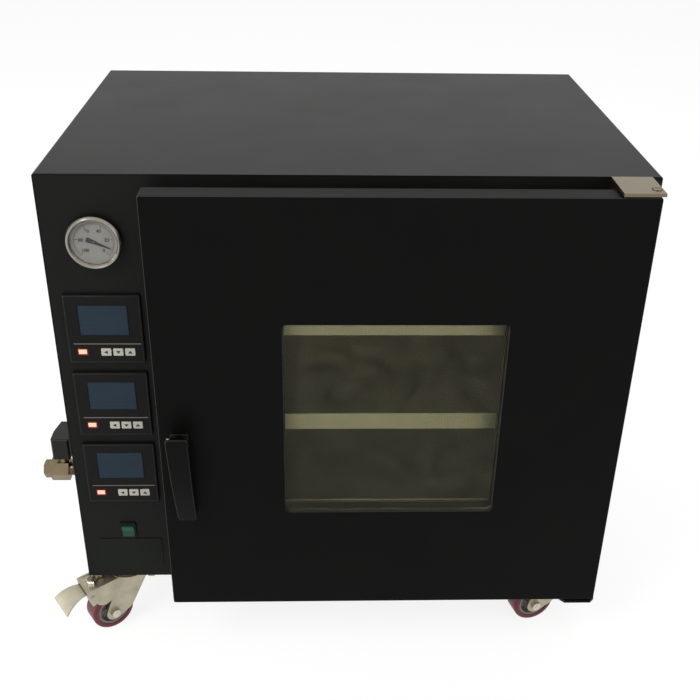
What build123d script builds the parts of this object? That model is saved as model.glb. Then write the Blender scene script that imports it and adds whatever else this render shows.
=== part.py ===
from build123d import *
from math import cos, radians, sin, tan
import os

# A vacuum oven on four casters: a sheet steel cabinet with a stainless vacuum chamber, three
# heated shelves, a glazed door on pin hinges, a column of controls and a ball valve on the left.
# Millimetres, +Z up. The origin is on the floor, under the middle of the whole outline.

# ---------------------------------------------------------------- driving dimensions
# Cabinet
cabinet_width = 740.0
cabinet_depth = 500.0
cabinet_height = 608.0
sheet = 1.5                  # cabinet sheet steel
fold_radius = 3.0            # outside radius of the folded cover
seam = 0.3                   # gap between neighbouring sheets
panel_lip = 12.0             # folded edge of the front and rear panels
base_thickness = 2.0
base_flange = 20.0

# Vacuum chamber
chamber_width = 415.0
chamber_headroom = 122.0     # above the chamber, to the cabinet top
chamber_depth = 345.0
chamber_wall = 4.0
chamber_floor = 106.0        # above the underside of the cabinet
chamber_corner = 4.0
flange_width = 24.0
flange_thickness = 8.0
insulation_thickness = 38.0
gasket_width = 19.0
gasket_edge = 6.0
gasket_corner = 16.0

# Heated shelves
shelf_count = 3
shelf_spacing = 0.374        # share of the chamber's height from shelf to shelf
shelf_side_gap = 8.5
socket_reach = 23.0          # behind the shelves
shelf_thickness = 24.0
shelf_sheet = 2.0
shelf_setback = 10.0         # behind the face of the chamber flange
runner_sheet = 2.0           # also lifts the lowest shelf off the chamber's rounded corner
runner_leg = 16.0
runner_inset = 14.0
socket_width = 60.0
socket_height = 18.0

# Door
door_width = 596.0
door_drop = 2.0              # of its bottom edge below the cabinet's underside
door_thickness = 28.0
door_gap = 28.0              # between the front panel and the back of the door
door_right_margin = 15.0
door_top_margin = 6.0
door_sheet = 2.0
door_corner = 3.0
door_edge = 1.8              # rounding of the front edge, under the sheet's thickness
liner_sheet = 2.0

# Door window
window_width = 278.0
window_height = 284.0
window_corner = 8.0
window_drop = 2.0            # below the middle of the door
glass_overlap = 10.0         # of the panes behind the door skin
outer_glass = 4.0
inner_glass_thickness = 15.0

# Door hinges
pin_radius = 4.0
pin_inset = 5.0              # pin axis from the door's right edge
pin_engagement = 14.0
hinge_width = 49.0
hinge_plate = 4.0
hinge_overhang = 2.0         # of the upper plate past the door's front
hinge_leg = 46.0
hinge_nose = 6.0             # corner cut of the lower plate
pin_head_radius = 6.0
pin_head = 1.2
pin_slot_width = 1.6
washer_radius = 7.0

# Door handle and latch
handle_hub_inset = 27.0      # hub axis from the door's left edge
handle_hub_height = 275.5    # above the door's bottom edge
handle_length = 119.0        # below the hub axis
handle_top = 22.0            # above the hub axis
handle_reach = 33.0          # from the door's face to the lever's outer face
handle_tip_reach = 13.0
handle_thickness = 9.0
handle_top_width = 29.0
handle_tip_width = 25.0
handle_lean = 2.0            # degrees that the lever leans off upright
handle_round = 2.5
hub_radius = 12.0
shaft_radius = 6.0
base_plate_width = 24.0
base_plate_height = 24.0
base_plate_thickness = 5.0
tongue_length = 21.0
tongue_width = 14.0
tongue_thickness = 5.0
keeper_leg = 4.0
keeper_clearance = 1.5       # past the end of the turned tongue
keeper_lip = 3.5
keeper_height = 28.0
keeper_reach = 16.0

# Gauge
gauge_share = 0.1365         # of the cabinet's height, from its top to the gauge's centre
gauge_radius = 33.5          # outside of the bezel
gauge_rim = 5.0
gauge_proud = 12.0
gauge_case_radius = 29.0
gauge_case_depth = 26.0
gauge_stem_radius = 6.0
gauge_stem = 20.0
dial_thickness = 1.0
dial_depth = 6.5             # dial face behind the bezel's front
gauge_glass_thickness = 2.0
pointer_length = 21.0
pointer_tail = 8.0
pointer_thickness = 0.6
pointer_hub = 2.6
spindle_radius = 0.8
bezel_lip = 1.0
pointer_rest = -24.0         # degrees from the gauge's right, anticlockwise

# Shelf controllers, of the 96 x 96 panel size
controller_size = 96.0
controller_body = 90.0
controller_depth = 72.0
controller_proud = 5.0
controller_corner = 2.0
controller_share = 0.3322    # of the cabinet's height, from its top to the first centre
controller_spacing = 0.1817  # of the cabinet's height, from centre to centre
screen_width = 60.0
screen_height = 41.0
screen_rise = 13.0           # screen centre above the controller's centre
screen_thickness = 1.2
key_width = 12.8
key_height = 10.4
key_pitch = 15.1
key_count = 3
key_drop = 31.5              # keys' centre below the controller's centre
key_start = -0.4             # first key's centre from the controller's centre
key_proud = 1.2
key_depth = 3.0
key_travel = 1.0
lamp_width = 13.0
lamp_height = 9.5
lamp_offset = -30.0
face_gap = 0.3               # around keys, screens and lamps

# Power switch and the bare plate under it
switch_share = 0.138         # of the cabinet's height, from its underside to the switch
switch_width = 23.0
switch_height = 27.0
switch_proud = 3.0
switch_depth = 20.0
switch_rim = 2.6
rocker_tilt = 8.0            # degrees either side of level
rocker_depth = 8.0
service_plate_width = 90.0
service_plate_height = 53.0
service_plate_gap = 2.0      # under the switch
service_plate_thickness = 1.0

# Vacuum valve on the left side
valve_setback = 130.0        # behind the cabinet front
valve_height = 97.0
valve_reach = 81.0           # outer end of the nipple from the cabinet side
valve_flats = 31.0
valve_body_length = 27.0
valve_stem_inset = 19.0      # stem axis from the body's outer end
nipple_flats = 24.0
nipple_length = 11.0
neck_radius = 10.0
valve_nut = 7.0
bonnet_radius = 7.5
bonnet_height = 9.0
stem_radius = 5.0
stem_height = 12.0           # inside the lever
lever_width = 26.0
lever_tail = 14.0            # width at the back end
lever_length = 41.0          # behind the stem axis
lever_front = 12.0
lever_height = 44.0          # top of the lever above the body's top
lever_arm = 13.0
lever_round = 3.0

# Vacuum tube inside the cabinet
tube_radius = 6.0
tube_bend = 22.0
tube_branch_height = 300.0

# Rear
louvre_rows = 8
louvre_pitch = 24.0
louvre_width = 150.0
louvre_hood = 5.0
louvre_spread = 190.0
louvre_top = 120.0           # first row below the cabinet top
gland_radius = 11.0
gland_flats = 27.0
gland_reach = 22.0
gland_height = 70.0

# Casters
caster_height = 102.0
caster_inset_x = 50.0
caster_inset_y = 35.0
caster_trail = 36.0
wheel_radius = 31.75
wheel_width = 30.0
tread = 7.5
tread_round = 4.0
caster_plate_length = 92.0
caster_plate_width = 60.0
caster_plate_thickness = 3.0
race_radius = 25.0
race_height = 5.0
crown_radius = 31.0
crown_thickness = 3.5
cheek = 3.0
cheek_gap = 1.5
lug_radius = 13.0
axle_radius = 4.0
kingpin_radius = 6.0
kingpin_head_radius = 9.0
kingpin_head = 3.0
bolt_flats = 13.0
bolt_head = 5.0
bolt_spacing_x = 76.0
bolt_spacing_y = 44.0
pedal_pivot_u = 66.0         # along the trail, from the swivel axis
pedal_pivot_z = -26.0        # from the underside of the cabinet
pedal_pin_radius = 2.5
pedal_barrel = 5.0
pedal_curl = 42.0            # radius of the pedal's curved end
pedal_sweep = 52.0           # degrees of that curve
pedal_sheet = 2.5
pedal_width = 28.0
pedal_flare = 52.0
bridge_top = -13.5           # plate joining the ears over the pedal
bridge_sheet = 2.5
bridge_lip = 8.0             # past the pedal's pivot
bridge_bolt = 4.5            # head height, under the caster plate's bolts
shoe_gap = 2.2               # between the brake shoe and the tread, unlocked
shoe_angle = 42.0            # degrees, of the shoe round the wheel
caster_turns = {"front_left": 34.5, "front_right": 16.4, "rear_left": 196.0, "rear_right": -13.0}
braked_casters = ("front_left", "rear_right")

# Clearances
running = 0.08               # radial, shaft in its hole
fit_gap = 0.3                # between a seated piece and its seat

# ---------------------------------------------------------------- worked-out places
# Cabinet coordinates: x from the left side, y back from the front panel, z up from the underside.
door_x1 = cabinet_width - door_right_margin
door_x0 = door_x1 - door_width
door_z1 = cabinet_height - door_top_margin
door_z0 = -door_drop
door_back = -door_gap
door_front = door_back - door_thickness
door_middle = (door_x0 + door_x1) / 2
column_middle = door_x0 / 2
window_z = (door_z0 + door_z1) / 2 - window_drop

chamber_x0 = door_middle - chamber_width / 2
chamber_x1 = door_middle + chamber_width / 2
chamber_z0 = chamber_floor
chamber_z1 = cabinet_height - chamber_headroom
chamber_y0 = -flange_thickness
chamber_y1 = chamber_y0 + chamber_depth
shelf_y0 = chamber_y0 + shelf_setback
shelf_y1 = chamber_y1 - socket_reach
shelf_x0 = chamber_x0 + shelf_side_gap
shelf_x1 = chamber_x1 - shelf_side_gap
shelf_lift = chamber_corner + runner_sheet
shelf_pitch = shelf_spacing * (chamber_z1 - chamber_z0)
shelf_levels = [chamber_z0 + shelf_lift + shelf_pitch * i for i in range(shelf_count)]

pin_x = door_x1 - pin_inset
pin_y = door_back - door_thickness / 2
hub_x = door_x0 + handle_hub_inset
hub_z = door_z0 + handle_hub_height

gauge_z = cabinet_height * (1 - gauge_share)
controller_z = [cabinet_height * (1 - controller_share - controller_spacing * i) for i in range(shelf_count)]
switch_z = cabinet_height * switch_share
service_plate_top = switch_z - switch_height / 2 - service_plate_gap
valve_body_x = -valve_reach + nipple_length
valve_stem_x = valve_body_x + valve_stem_inset

axle_z = wheel_radius - caster_height
rear_reach = gland_reach
front_reach = -door_front + handle_reach
cabinet_left = (valve_reach - cabinet_width) / 2
cabinet_front = (front_reach - cabinet_depth - rear_reach) / 2

corner = (cabinet_left, cabinet_front, caster_height)
front_view = Plane(origin=corner, x_dir=(1, 0, 0), z_dir=(0, -1, 0))
top_view = Plane(origin=corner, x_dir=(1, 0, 0), z_dir=(0, 0, 1))
side_view = Plane(origin=corner, x_dir=(0, 1, 0), z_dir=(1, 0, 0))

os.makedirs("parts", exist_ok=True)


# ---------------------------------------------------------------- helpers
def at_depth(y):
    """The upright plane y behind the front panel. Its normal points to the front."""
    return front_view.offset(-y)


def at_height(z):
    """The level plane z above the underside of the cabinet. Its normal points up."""
    return top_view.offset(z)


def at_side(x):
    """The upright plane x right of the cabinet's left side. Its normal points right."""
    return side_view.offset(x)


def plate(plane, x0, x1, y0, y1, amount, radius=0.0, mode=Mode.ADD):
    """Add or cut a plate, given by its edges on a plane and its thickness along the normal."""
    with BuildSketch(plane) as outline:
        with Locations(((x0 + x1) / 2, (y0 + y1) / 2)):
            if radius > 0:
                RectangleRounded(x1 - x0, y1 - y0, radius)
            else:
                Rectangle(x1 - x0, y1 - y0)
    extrude(outline.sketch, amount=amount, mode=mode)


def disc(plane, x, y, radius, amount, mode=Mode.ADD):
    """Add or cut a round disc or bore."""
    with BuildSketch(plane) as outline:
        with Locations((x, y)):
            Circle(radius)
    extrude(outline.sketch, amount=amount, mode=mode)


def hexagon(plane, x, y, flats, amount, turn=0.0):
    """Add a hexagonal prism of the given size across its flats."""
    with BuildSketch(plane) as outline:
        with Locations((x, y)):
            RegularPolygon(flats / 2, 6, major_radius=False, rotation=turn)
    extrude(outline.sketch, amount=amount)


def window_plate(depth, grow, amount, mode=Mode.ADD):
    """Add or cut a pane-shaped plate on the door's window, larger by grow on each side."""
    half_w = window_width / 2 + grow
    half_h = window_height / 2 + grow
    plate(at_depth(depth), door_middle - half_w, door_middle + half_w,
          window_z - half_h, window_z + half_h, amount, window_corner, mode)


def save(piece, name):
    """Label a finished piece and write it."""
    piece.part.label = name
    export_step(piece.part, f"parts/{name}.step")


# ---------------------------------------------------------------- cabinet
panel_inset = sheet + seam

with BuildPart() as outer_cover:
    plate(at_depth(0), 0, cabinet_width, 0, cabinet_height, -cabinet_depth)
    fillet(outer_cover.edges().filter_by(Axis.Y).group_by(Axis.Z)[-1], fold_radius)
    plate(at_depth(0), sheet, cabinet_width - sheet, 0, cabinet_height - sheet,
          -cabinet_depth, mode=Mode.SUBTRACT)
    disc(at_side(0), valve_setback, valve_height, neck_radius + fit_gap, sheet, Mode.SUBTRACT)
save(outer_cover, "outer_cover")


def folded_panel(depth, inward):
    """A panel with edges folded inward on the top and both sides, at the front or the rear."""
    plate(at_depth(depth), panel_inset, cabinet_width - panel_inset,
          0, cabinet_height - panel_inset, inward * panel_lip)
    plate(at_depth(depth - inward * sheet), panel_inset + sheet, cabinet_width - panel_inset - sheet,
          0, cabinet_height - panel_inset - sheet, inward * (panel_lip - sheet), mode=Mode.SUBTRACT)


with BuildPart() as front_panel:
    folded_panel(0, -1)
    wall_gap = chamber_wall + seam
    plate(at_depth(0), chamber_x0 - wall_gap, chamber_x1 + wall_gap, chamber_z0 - wall_gap,
          chamber_z1 + wall_gap, -sheet, chamber_corner + wall_gap, Mode.SUBTRACT)
    disc(at_depth(0), column_middle, gauge_z, gauge_case_radius + fit_gap, -sheet, Mode.SUBTRACT)
    body_half = controller_body / 2 + fit_gap
    for z in controller_z:
        plate(at_depth(0), column_middle - body_half, column_middle + body_half,
              z - body_half, z + body_half, -sheet, mode=Mode.SUBTRACT)
    switch_half_w = switch_width / 2 - switch_rim
    switch_half_h = switch_height / 2 - switch_rim
    plate(at_depth(0), column_middle - switch_half_w - fit_gap, column_middle + switch_half_w + fit_gap,
          switch_z - switch_half_h - fit_gap,
          switch_z + switch_half_h + fit_gap, -sheet, mode=Mode.SUBTRACT)
save(front_panel, "front_panel")

with BuildPart() as base_pan:
    pan_x0 = panel_inset + sheet
    pan_x1 = cabinet_width - pan_x0
    pan_y0 = sheet
    pan_y1 = cabinet_depth - sheet
    plate(at_height(0), pan_x0, pan_x1, pan_y0, pan_y1, base_flange)
    plate(at_height(base_thickness), pan_x0 + sheet, pan_x1 - sheet, pan_y0 + sheet, pan_y1 - sheet,
          base_flange, mode=Mode.SUBTRACT)
save(base_pan, "base_pan")

with BuildPart() as rear_panel:
    folded_panel(cabinet_depth, 1)
    for side in (-1, 1):
        for row in range(louvre_rows):
            louvre_x = cabinet_width / 2 + side * louvre_spread / 2
            louvre_z = cabinet_height - louvre_top - louvre_pitch * row
            # A pressed hood: a half-round bulge outside, hollow inside, open along its lower edge
            with BuildSketch(at_side(louvre_x - louvre_width / 2)) as hood:
                with Locations((cabinet_depth, louvre_z)):
                    Circle(louvre_hood)
                    Circle(louvre_hood - sheet, mode=Mode.SUBTRACT)
                    with Locations((0, -louvre_hood)):
                        Rectangle(2 * louvre_hood, 2 * louvre_hood, mode=Mode.SUBTRACT)
                    with Locations((-louvre_hood, 0)):
                        Rectangle(2 * louvre_hood, 2 * louvre_hood, mode=Mode.SUBTRACT)
            extrude(hood.sketch, amount=louvre_width)
            with BuildSketch(at_side(louvre_x - louvre_width / 2)) as mouth:
                with Locations((cabinet_depth - sheet / 2, louvre_z + (louvre_hood - sheet) / 2)):
                    Rectangle(sheet, louvre_hood - sheet)
            extrude(mouth.sketch, amount=louvre_width, mode=Mode.SUBTRACT)
    disc(at_depth(cabinet_depth), column_middle, gland_height, gland_radius - sheet + fit_gap,
         sheet, Mode.SUBTRACT)
save(rear_panel, "rear_panel")

# ---------------------------------------------------------------- chamber
with BuildPart() as chamber:
    plate(at_depth(chamber_y0), chamber_x0 - chamber_wall, chamber_x1 + chamber_wall,
          chamber_z0 - chamber_wall, chamber_z1 + chamber_wall,
          -(chamber_depth + chamber_wall), chamber_corner + chamber_wall)
    plate(at_depth(chamber_y0), chamber_x0 - flange_width, chamber_x1 + flange_width,
          chamber_z0 - flange_width, chamber_z1 + flange_width,
          -flange_thickness, chamber_corner)
    plate(at_depth(chamber_y0), chamber_x0, chamber_x1, chamber_z0, chamber_z1,
          -chamber_depth, chamber_corner, Mode.SUBTRACT)
    disc(at_side(chamber_x0 - chamber_wall), valve_setback, tube_branch_height,
         tube_radius - sheet, chamber_wall, Mode.SUBTRACT)
save(chamber, "chamber")

with BuildPart() as insulation:
    wrap = chamber_wall + insulation_thickness
    inner = chamber_wall + fit_gap
    wrap_y0 = panel_lip + seam
    wrap_y1 = chamber_y1 + chamber_wall + insulation_thickness
    plate(at_depth(wrap_y0), chamber_x0 - wrap, chamber_x1 + wrap, chamber_z0 - wrap,
          chamber_z1 + wrap, -(wrap_y1 - wrap_y0))
    plate(at_depth(wrap_y0), chamber_x0 - inner, chamber_x1 + inner, chamber_z0 - inner,
          chamber_z1 + inner, -(chamber_y1 + chamber_wall + fit_gap - wrap_y0),
          chamber_corner + inner, Mode.SUBTRACT)
    disc(at_side(chamber_x0 - wrap), valve_setback, tube_branch_height,
         tube_radius + fit_gap, wrap, Mode.SUBTRACT)
save(insulation, "insulation")

with BuildPart() as chamber_gasket:
    gasket_depth = door_gap - flange_thickness - fit_gap
    plate(at_depth(chamber_y0), chamber_x0 - gasket_width, chamber_x1 + gasket_width,
          chamber_z0 - gasket_width, chamber_z1 + gasket_width, gasket_depth, gasket_corner)
    plate(at_depth(chamber_y0), chamber_x0, chamber_x1, chamber_z0, chamber_z1, gasket_depth,
          gasket_corner, Mode.SUBTRACT)
    fillet(chamber_gasket.faces().sort_by(Axis.Y)[0].edges(), gasket_edge)
save(chamber_gasket, "chamber_gasket")

with BuildPart() as shelf_runners:
    for level in shelf_levels:
        for wall_x, inward in ((chamber_x0, 1), (chamber_x1, -1)):
            with BuildSketch(at_depth(shelf_y0)) as angle:
                with Locations((wall_x + inward * runner_leg / 2, level - runner_sheet / 2)):
                    Rectangle(runner_leg, runner_sheet)
                with Locations((wall_x + inward * runner_sheet / 2, level + runner_leg / 2 - runner_sheet)):
                    Rectangle(runner_sheet, runner_leg)
            extrude(angle.sketch, amount=-(shelf_y1 - shelf_y0 - runner_inset))
save(shelf_runners, "shelf_runners")

with BuildPart() as heated_shelves:
    for level in shelf_levels:
        plate(at_height(level), shelf_x0, shelf_x1, shelf_y0, shelf_y1, shelf_thickness)
        shelf_edges = heated_shelves.edges(Select.LAST).filter_by(Axis.X)
        fillet(shelf_edges.group_by(Axis.Z)[-1].sort_by(Axis.Y)[0], shelf_sheet)
        plate(at_height(level), shelf_x0 + shelf_sheet, shelf_x1 - shelf_sheet,
              shelf_y0 + shelf_sheet, shelf_y1 - shelf_sheet,
              shelf_thickness - shelf_sheet, mode=Mode.SUBTRACT)
save(heated_shelves, "heated_shelves")

with BuildPart() as shelf_sockets:
    for level in shelf_levels:
        middle = level + shelf_thickness / 2
        plate(at_depth(chamber_y1), door_middle - socket_width / 2, door_middle + socket_width / 2,
              middle - socket_height / 2, middle + socket_height / 2,
              chamber_y1 - shelf_y1 - fit_gap, 3 * shelf_sheet)
save(shelf_sockets, "shelf_sockets")

# ---------------------------------------------------------------- door
shell_x0 = door_x0 + door_sheet
shell_x1 = door_x1 - door_sheet
shell_z0 = door_z0 + door_sheet
shell_z1 = door_z1 - door_sheet
shell_corner = door_corner - door_sheet


def door_bores(depth, amount):
    """Cut the handle shaft's hole through a layer of the door."""
    disc(at_depth(depth), hub_x, hub_z, shaft_radius + running, amount, Mode.SUBTRACT)


def pin_bores():
    """Cut the hinge pins' holes in the top and bottom of the door."""
    disc(at_height(door_z1), pin_x, pin_y, pin_radius + running, -pin_engagement, Mode.SUBTRACT)
    disc(at_height(door_z0), pin_x, pin_y, pin_radius + running, pin_engagement, Mode.SUBTRACT)


with BuildPart() as door_shell:
    plate(at_depth(door_front), door_x0, door_x1, door_z0, door_z1, -door_thickness, door_corner)
    fillet(door_shell.faces().sort_by(Axis.Y)[0].edges(), door_edge)
    plate(at_depth(door_front + door_sheet), shell_x0, shell_x1, shell_z0, shell_z1,
          -door_thickness, shell_corner, Mode.SUBTRACT)
    window_plate(door_front, 0, -door_sheet, Mode.SUBTRACT)
    door_bores(door_front, -door_sheet)
    pin_bores()
save(door_shell, "door_shell")

glass_gap = fit_gap / 2
core_front = door_front + door_sheet
core_back = door_back - liner_sheet
with BuildPart() as door_core:
    plate(at_depth(core_front), shell_x0, shell_x1, shell_z0, shell_z1,
          -(core_back - core_front), shell_corner)
    window_plate(core_front, glass_overlap + glass_gap, -door_thickness, Mode.SUBTRACT)
    door_bores(core_front, -door_thickness)
    pin_bores()
save(door_core, "door_core")

with BuildPart() as door_liner:
    plate(at_depth(core_back), shell_x0, shell_x1, shell_z0, shell_z1, -liner_sheet, shell_corner)
    window_plate(core_back, 0, -liner_sheet, Mode.SUBTRACT)
    door_bores(core_back, -liner_sheet)
save(door_liner, "door_liner")

seal_front = core_front + outer_glass
inner_glass_front = core_back - inner_glass_thickness
with BuildPart() as window_glass:
    window_plate(core_front, glass_overlap, -outer_glass)
save(window_glass, "window_glass")

with BuildPart() as window_seal:
    window_plate(seal_front, glass_overlap, -(inner_glass_front - seal_front))
    window_plate(seal_front, 0, -(inner_glass_front - seal_front), Mode.SUBTRACT)
save(window_seal, "window_seal")

with BuildPart() as inner_glass:
    window_plate(inner_glass_front, glass_overlap, -inner_glass_thickness)
save(inner_glass, "inner_glass")

with BuildPart() as handle_base:
    base_top = hub_z + base_plate_height / 2
    plate(at_depth(door_front), hub_x - base_plate_width / 2, hub_x + base_plate_width / 2,
          base_top - base_plate_height, base_top, base_plate_thickness, base_plate_thickness)
    fillet(handle_base.faces().sort_by(Axis.Y)[0].edges(), base_plate_thickness / 3)
    door_bores(door_front, base_plate_thickness)
save(handle_base, "handle_base")

# The lever: an arched side outline, cut to a tapering front outline, on a hub and shaft whose
# tongue turns in the gap behind the door
lever_out = door_front - handle_reach
lever_tip_out = door_front - handle_tip_reach
lever_z1 = hub_z + handle_top
lever_z0 = hub_z - handle_length
lean = tan(radians(handle_lean)) * handle_length
with BuildPart() as door_handle:
    with BuildSketch(at_side(hub_x)) as arch:
        with BuildLine():
            outer = TangentArc((lever_out, lever_z1), (lever_tip_out, lever_z0), tangent=(0, -1))
            inner = TangentArc((lever_out + handle_thickness, lever_z1),
                               (lever_tip_out + handle_thickness, lever_z0), tangent=(0, -1))
            Line(outer @ 0, inner @ 0)
            Line(outer @ 1, inner @ 1)
        make_face()
    extrude(arch.sketch, amount=handle_top_width, both=True)
    with BuildSketch(at_depth(lever_out)) as front_outline:
        with BuildLine():
            Polyline((hub_x - handle_top_width / 2, lever_z1), (hub_x + handle_top_width / 2, lever_z1),
                     (hub_x + handle_tip_width / 2 + lean, lever_z0),
                     (hub_x - handle_tip_width / 2 + lean, lever_z0), close=True)
        make_face()
        fillet(front_outline.vertices(), handle_round * 2)
    extrude(front_outline.sketch, amount=-handle_reach, mode=Mode.INTERSECT)
    lever_edges = door_handle.faces().sort_by(Axis.Y)[0].edges()
    fillet(lever_edges, handle_round)
    hub_back = door_front - base_plate_thickness - fit_gap
    disc(at_depth(hub_back), hub_x, hub_z, hub_radius, handle_reach - base_plate_thickness - handle_thickness)
    tongue_back = door_gap / 2 - tongue_thickness / 2
    disc(at_depth(-tongue_back), hub_x, hub_z, shaft_radius, -hub_back - tongue_back)
    with BuildSketch(at_depth(-tongue_back)) as tongue:
        with Locations((hub_x, hub_z + tongue_length / 2 - tongue_width / 4)):
            RectangleRounded(tongue_width, tongue_length + tongue_width / 2, tongue_width / 2 - seam)
    extrude(tongue.sketch, amount=tongue_thickness)
save(door_handle, "door_handle")

# The keeper: a bracket on the front panel whose lip stands in front of the turned tongue
with BuildPart() as latch_keeper:
    tongue_front = -(tongue_back + tongue_thickness)
    keeper_x0 = hub_x - tongue_length - keeper_clearance - keeper_leg
    lip_front = tongue_front - seam - keeper_lip
    plate(at_depth(0), keeper_x0, keeper_x0 + keeper_leg, hub_z - keeper_height / 2,
          hub_z + keeper_height / 2, -lip_front)
    plate(at_depth(lip_front + keeper_lip), keeper_x0, keeper_x0 + keeper_reach,
          hub_z - keeper_height / 2, hub_z + keeper_height / 2, keeper_lip)
    plate(at_depth(0), keeper_x0 - keeper_reach + keeper_leg, keeper_x0 + keeper_leg,
          hub_z - keeper_height / 2, hub_z + keeper_height / 2, keeper_leg)
save(latch_keeper, "latch_keeper")

# ---------------------------------------------------------------- door hinges
hinge_x0 = pin_x + pin_inset + hinge_overhang - hinge_width
hinge_x1 = hinge_x0 + hinge_width

with BuildPart() as upper_hinge:
    plate(at_height(cabinet_height), hinge_x0, hinge_x1, door_front - hinge_overhang, 0, -hinge_plate)
    plate(at_depth(0), hinge_x0, hinge_x1, cabinet_height - hinge_leg, cabinet_height, hinge_plate)
    disc(at_height(cabinet_height), pin_x, pin_y, pin_head_radius, pin_head)
    fillet(upper_hinge.edges().group_by(Axis.Z)[-1], pin_head / 3)
    plate(at_height(cabinet_height + pin_head), pin_x - pin_head_radius, pin_x + pin_head_radius,
          pin_y - pin_slot_width / 2, pin_y + pin_slot_width / 2, -pin_head, mode=Mode.SUBTRACT)
    disc(at_height(cabinet_height), pin_x, pin_y, pin_radius, -(door_top_margin + pin_engagement - seam))
save(upper_hinge, "upper_hinge")

washer = door_sheet
with BuildPart() as lower_hinge:
    lower_top = door_z0 - washer
    with BuildSketch(at_height(lower_top)) as nose:
        with BuildLine():
            Polyline((hinge_x0, 0), (hinge_x0, door_front + hinge_nose), (hinge_x0 + hinge_nose, door_front),
                     (hinge_x1 - hinge_nose, door_front), (hinge_x1, door_front + hinge_nose),
                     (hinge_x1, 0), close=True)
        make_face()
    extrude(nose.sketch, amount=-hinge_plate)
    plate(at_depth(0), hinge_x0, hinge_x1, lower_top - hinge_plate, hinge_leg, hinge_plate)
    disc(at_height(lower_top), pin_x, pin_y, washer_radius, washer - running)
    disc(at_height(lower_top), pin_x, pin_y, pin_radius, washer + pin_engagement - seam)
save(lower_hinge, "lower_hinge")

# ---------------------------------------------------------------- gauge
def gauge_revolve(points):
    """Revolve a half outline, given as radius and distance in front of the panel, round the gauge."""
    section = Plane(origin=front_view.from_local_coords((column_middle, gauge_z, 0)),
                    x_dir=(1, 0, 0), z_dir=(0, 0, 1))
    with BuildSketch(section) as half:
        with BuildLine():
            Polyline(*[(r, -out) for r, out in points], close=True)
        make_face()
    revolve(half.sketch, axis=Axis(section.origin, (0, 1, 0)))


glass_front = gauge_proud - gauge_rim / 2
glass_back = glass_front - gauge_glass_thickness
dial_front = gauge_proud - dial_depth
window_radius = gauge_radius - gauge_rim

with BuildPart() as gauge_case:
    gauge_revolve([(0, -gauge_case_depth), (gauge_case_radius - gauge_rim, -gauge_case_depth),
                   (gauge_case_radius, gauge_rim - gauge_case_depth), (gauge_case_radius, 0),
                   (gauge_radius - sheet, 0), (gauge_radius - sheet, sheet),
                   (gauge_case_radius, sheet), (gauge_case_radius, dial_front - dial_thickness),
                   (0, dial_front - dial_thickness)])
    disc(at_depth(gauge_case_depth), column_middle, gauge_z, gauge_stem_radius, -gauge_stem)
save(gauge_case, "gauge_case")

with BuildPart() as gauge_bezel:
    gauge_revolve([(gauge_case_radius + fit_gap, sheet), (gauge_radius, sheet),
                   (gauge_radius, gauge_proud - gauge_rim / 2),
                   (gauge_radius - gauge_rim / 4, gauge_proud - gauge_rim / 8),
                   (gauge_radius - gauge_rim / 2, gauge_proud),
                   (gauge_radius - gauge_rim * 3 / 4, gauge_proud - gauge_rim / 8),
                   (window_radius, glass_front), (window_radius, glass_front - bezel_lip),
                   (gauge_case_radius + fit_gap, glass_front - bezel_lip)])
save(gauge_bezel, "gauge_bezel")

with BuildPart() as gauge_dial:
    disc(at_depth(-dial_front), column_middle, gauge_z, window_radius, -dial_thickness)
    disc(at_depth(-dial_front), column_middle, gauge_z, spindle_radius, glass_back - dial_front - seam)
save(gauge_dial, "gauge_dial")

with BuildPart() as gauge_glass:
    disc(at_depth(-glass_front), column_middle, gauge_z, window_radius - seam / 2, -gauge_glass_thickness)
save(gauge_glass, "gauge_glass")

with BuildPart() as gauge_pointer:
    pointer_back = dial_front + seam
    needle = Plane(origin=front_view.from_local_coords((column_middle, gauge_z, pointer_back)),
                   x_dir=(cos(radians(pointer_rest)), 0, sin(radians(pointer_rest))), z_dir=(0, -1, 0))
    with BuildSketch(needle) as hand:
        with BuildLine():
            Polyline((-pointer_tail, -pointer_hub / 2), (pointer_length, -pointer_thickness / 2),
                     (pointer_length, pointer_thickness / 2), (-pointer_tail, pointer_hub / 2), close=True)
        make_face()
        Circle(pointer_hub)
    extrude(hand.sketch, amount=pointer_thickness)
    with BuildSketch(needle) as boss:
        Circle(pointer_hub / 2)
    extrude(boss.sketch, amount=glass_back - pointer_back - fit_gap)
    disc(at_depth(-pointer_back), column_middle, gauge_z, spindle_radius + running,
         glass_back - pointer_back, Mode.SUBTRACT)
save(gauge_pointer, "gauge_pointer")

# ---------------------------------------------------------------- controllers
controller_front = -controller_proud
key_names = ("left", "middle", "right")
key_x = [column_middle + key_start + key_pitch * i for i in range(key_count)]


def key_recess(x, z, width, height, depth):
    """Cut a pocket for a key, screen or lamp in a controller's face."""
    plate(at_depth(controller_front), x - width / 2 - face_gap, x + width / 2 + face_gap,
          z - height / 2 - face_gap, z + height / 2 + face_gap, -depth, mode=Mode.SUBTRACT)


with BuildPart() as controller_cases:
    half = controller_size / 2
    for z in controller_z:
        plate(at_depth(0), column_middle - half, column_middle + half, z - half, z + half,
              controller_proud, controller_corner)
    fillet(controller_cases.faces().group_by(Axis.Y)[0].edges(), controller_corner / 2)
    for z in controller_z:
        body = controller_body / 2
        plate(at_depth(0), column_middle - body, column_middle + body, z - body, z + body, -controller_depth)
        key_recess(column_middle, z + screen_rise, screen_width, screen_height, screen_thickness + fit_gap)
        key_recess(column_middle + lamp_offset, z - key_drop, lamp_width, lamp_height, screen_thickness)
        for x in key_x:
            key_recess(x, z - key_drop, key_width, key_height, key_depth + key_travel)
save(controller_cases, "controller_cases")

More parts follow.
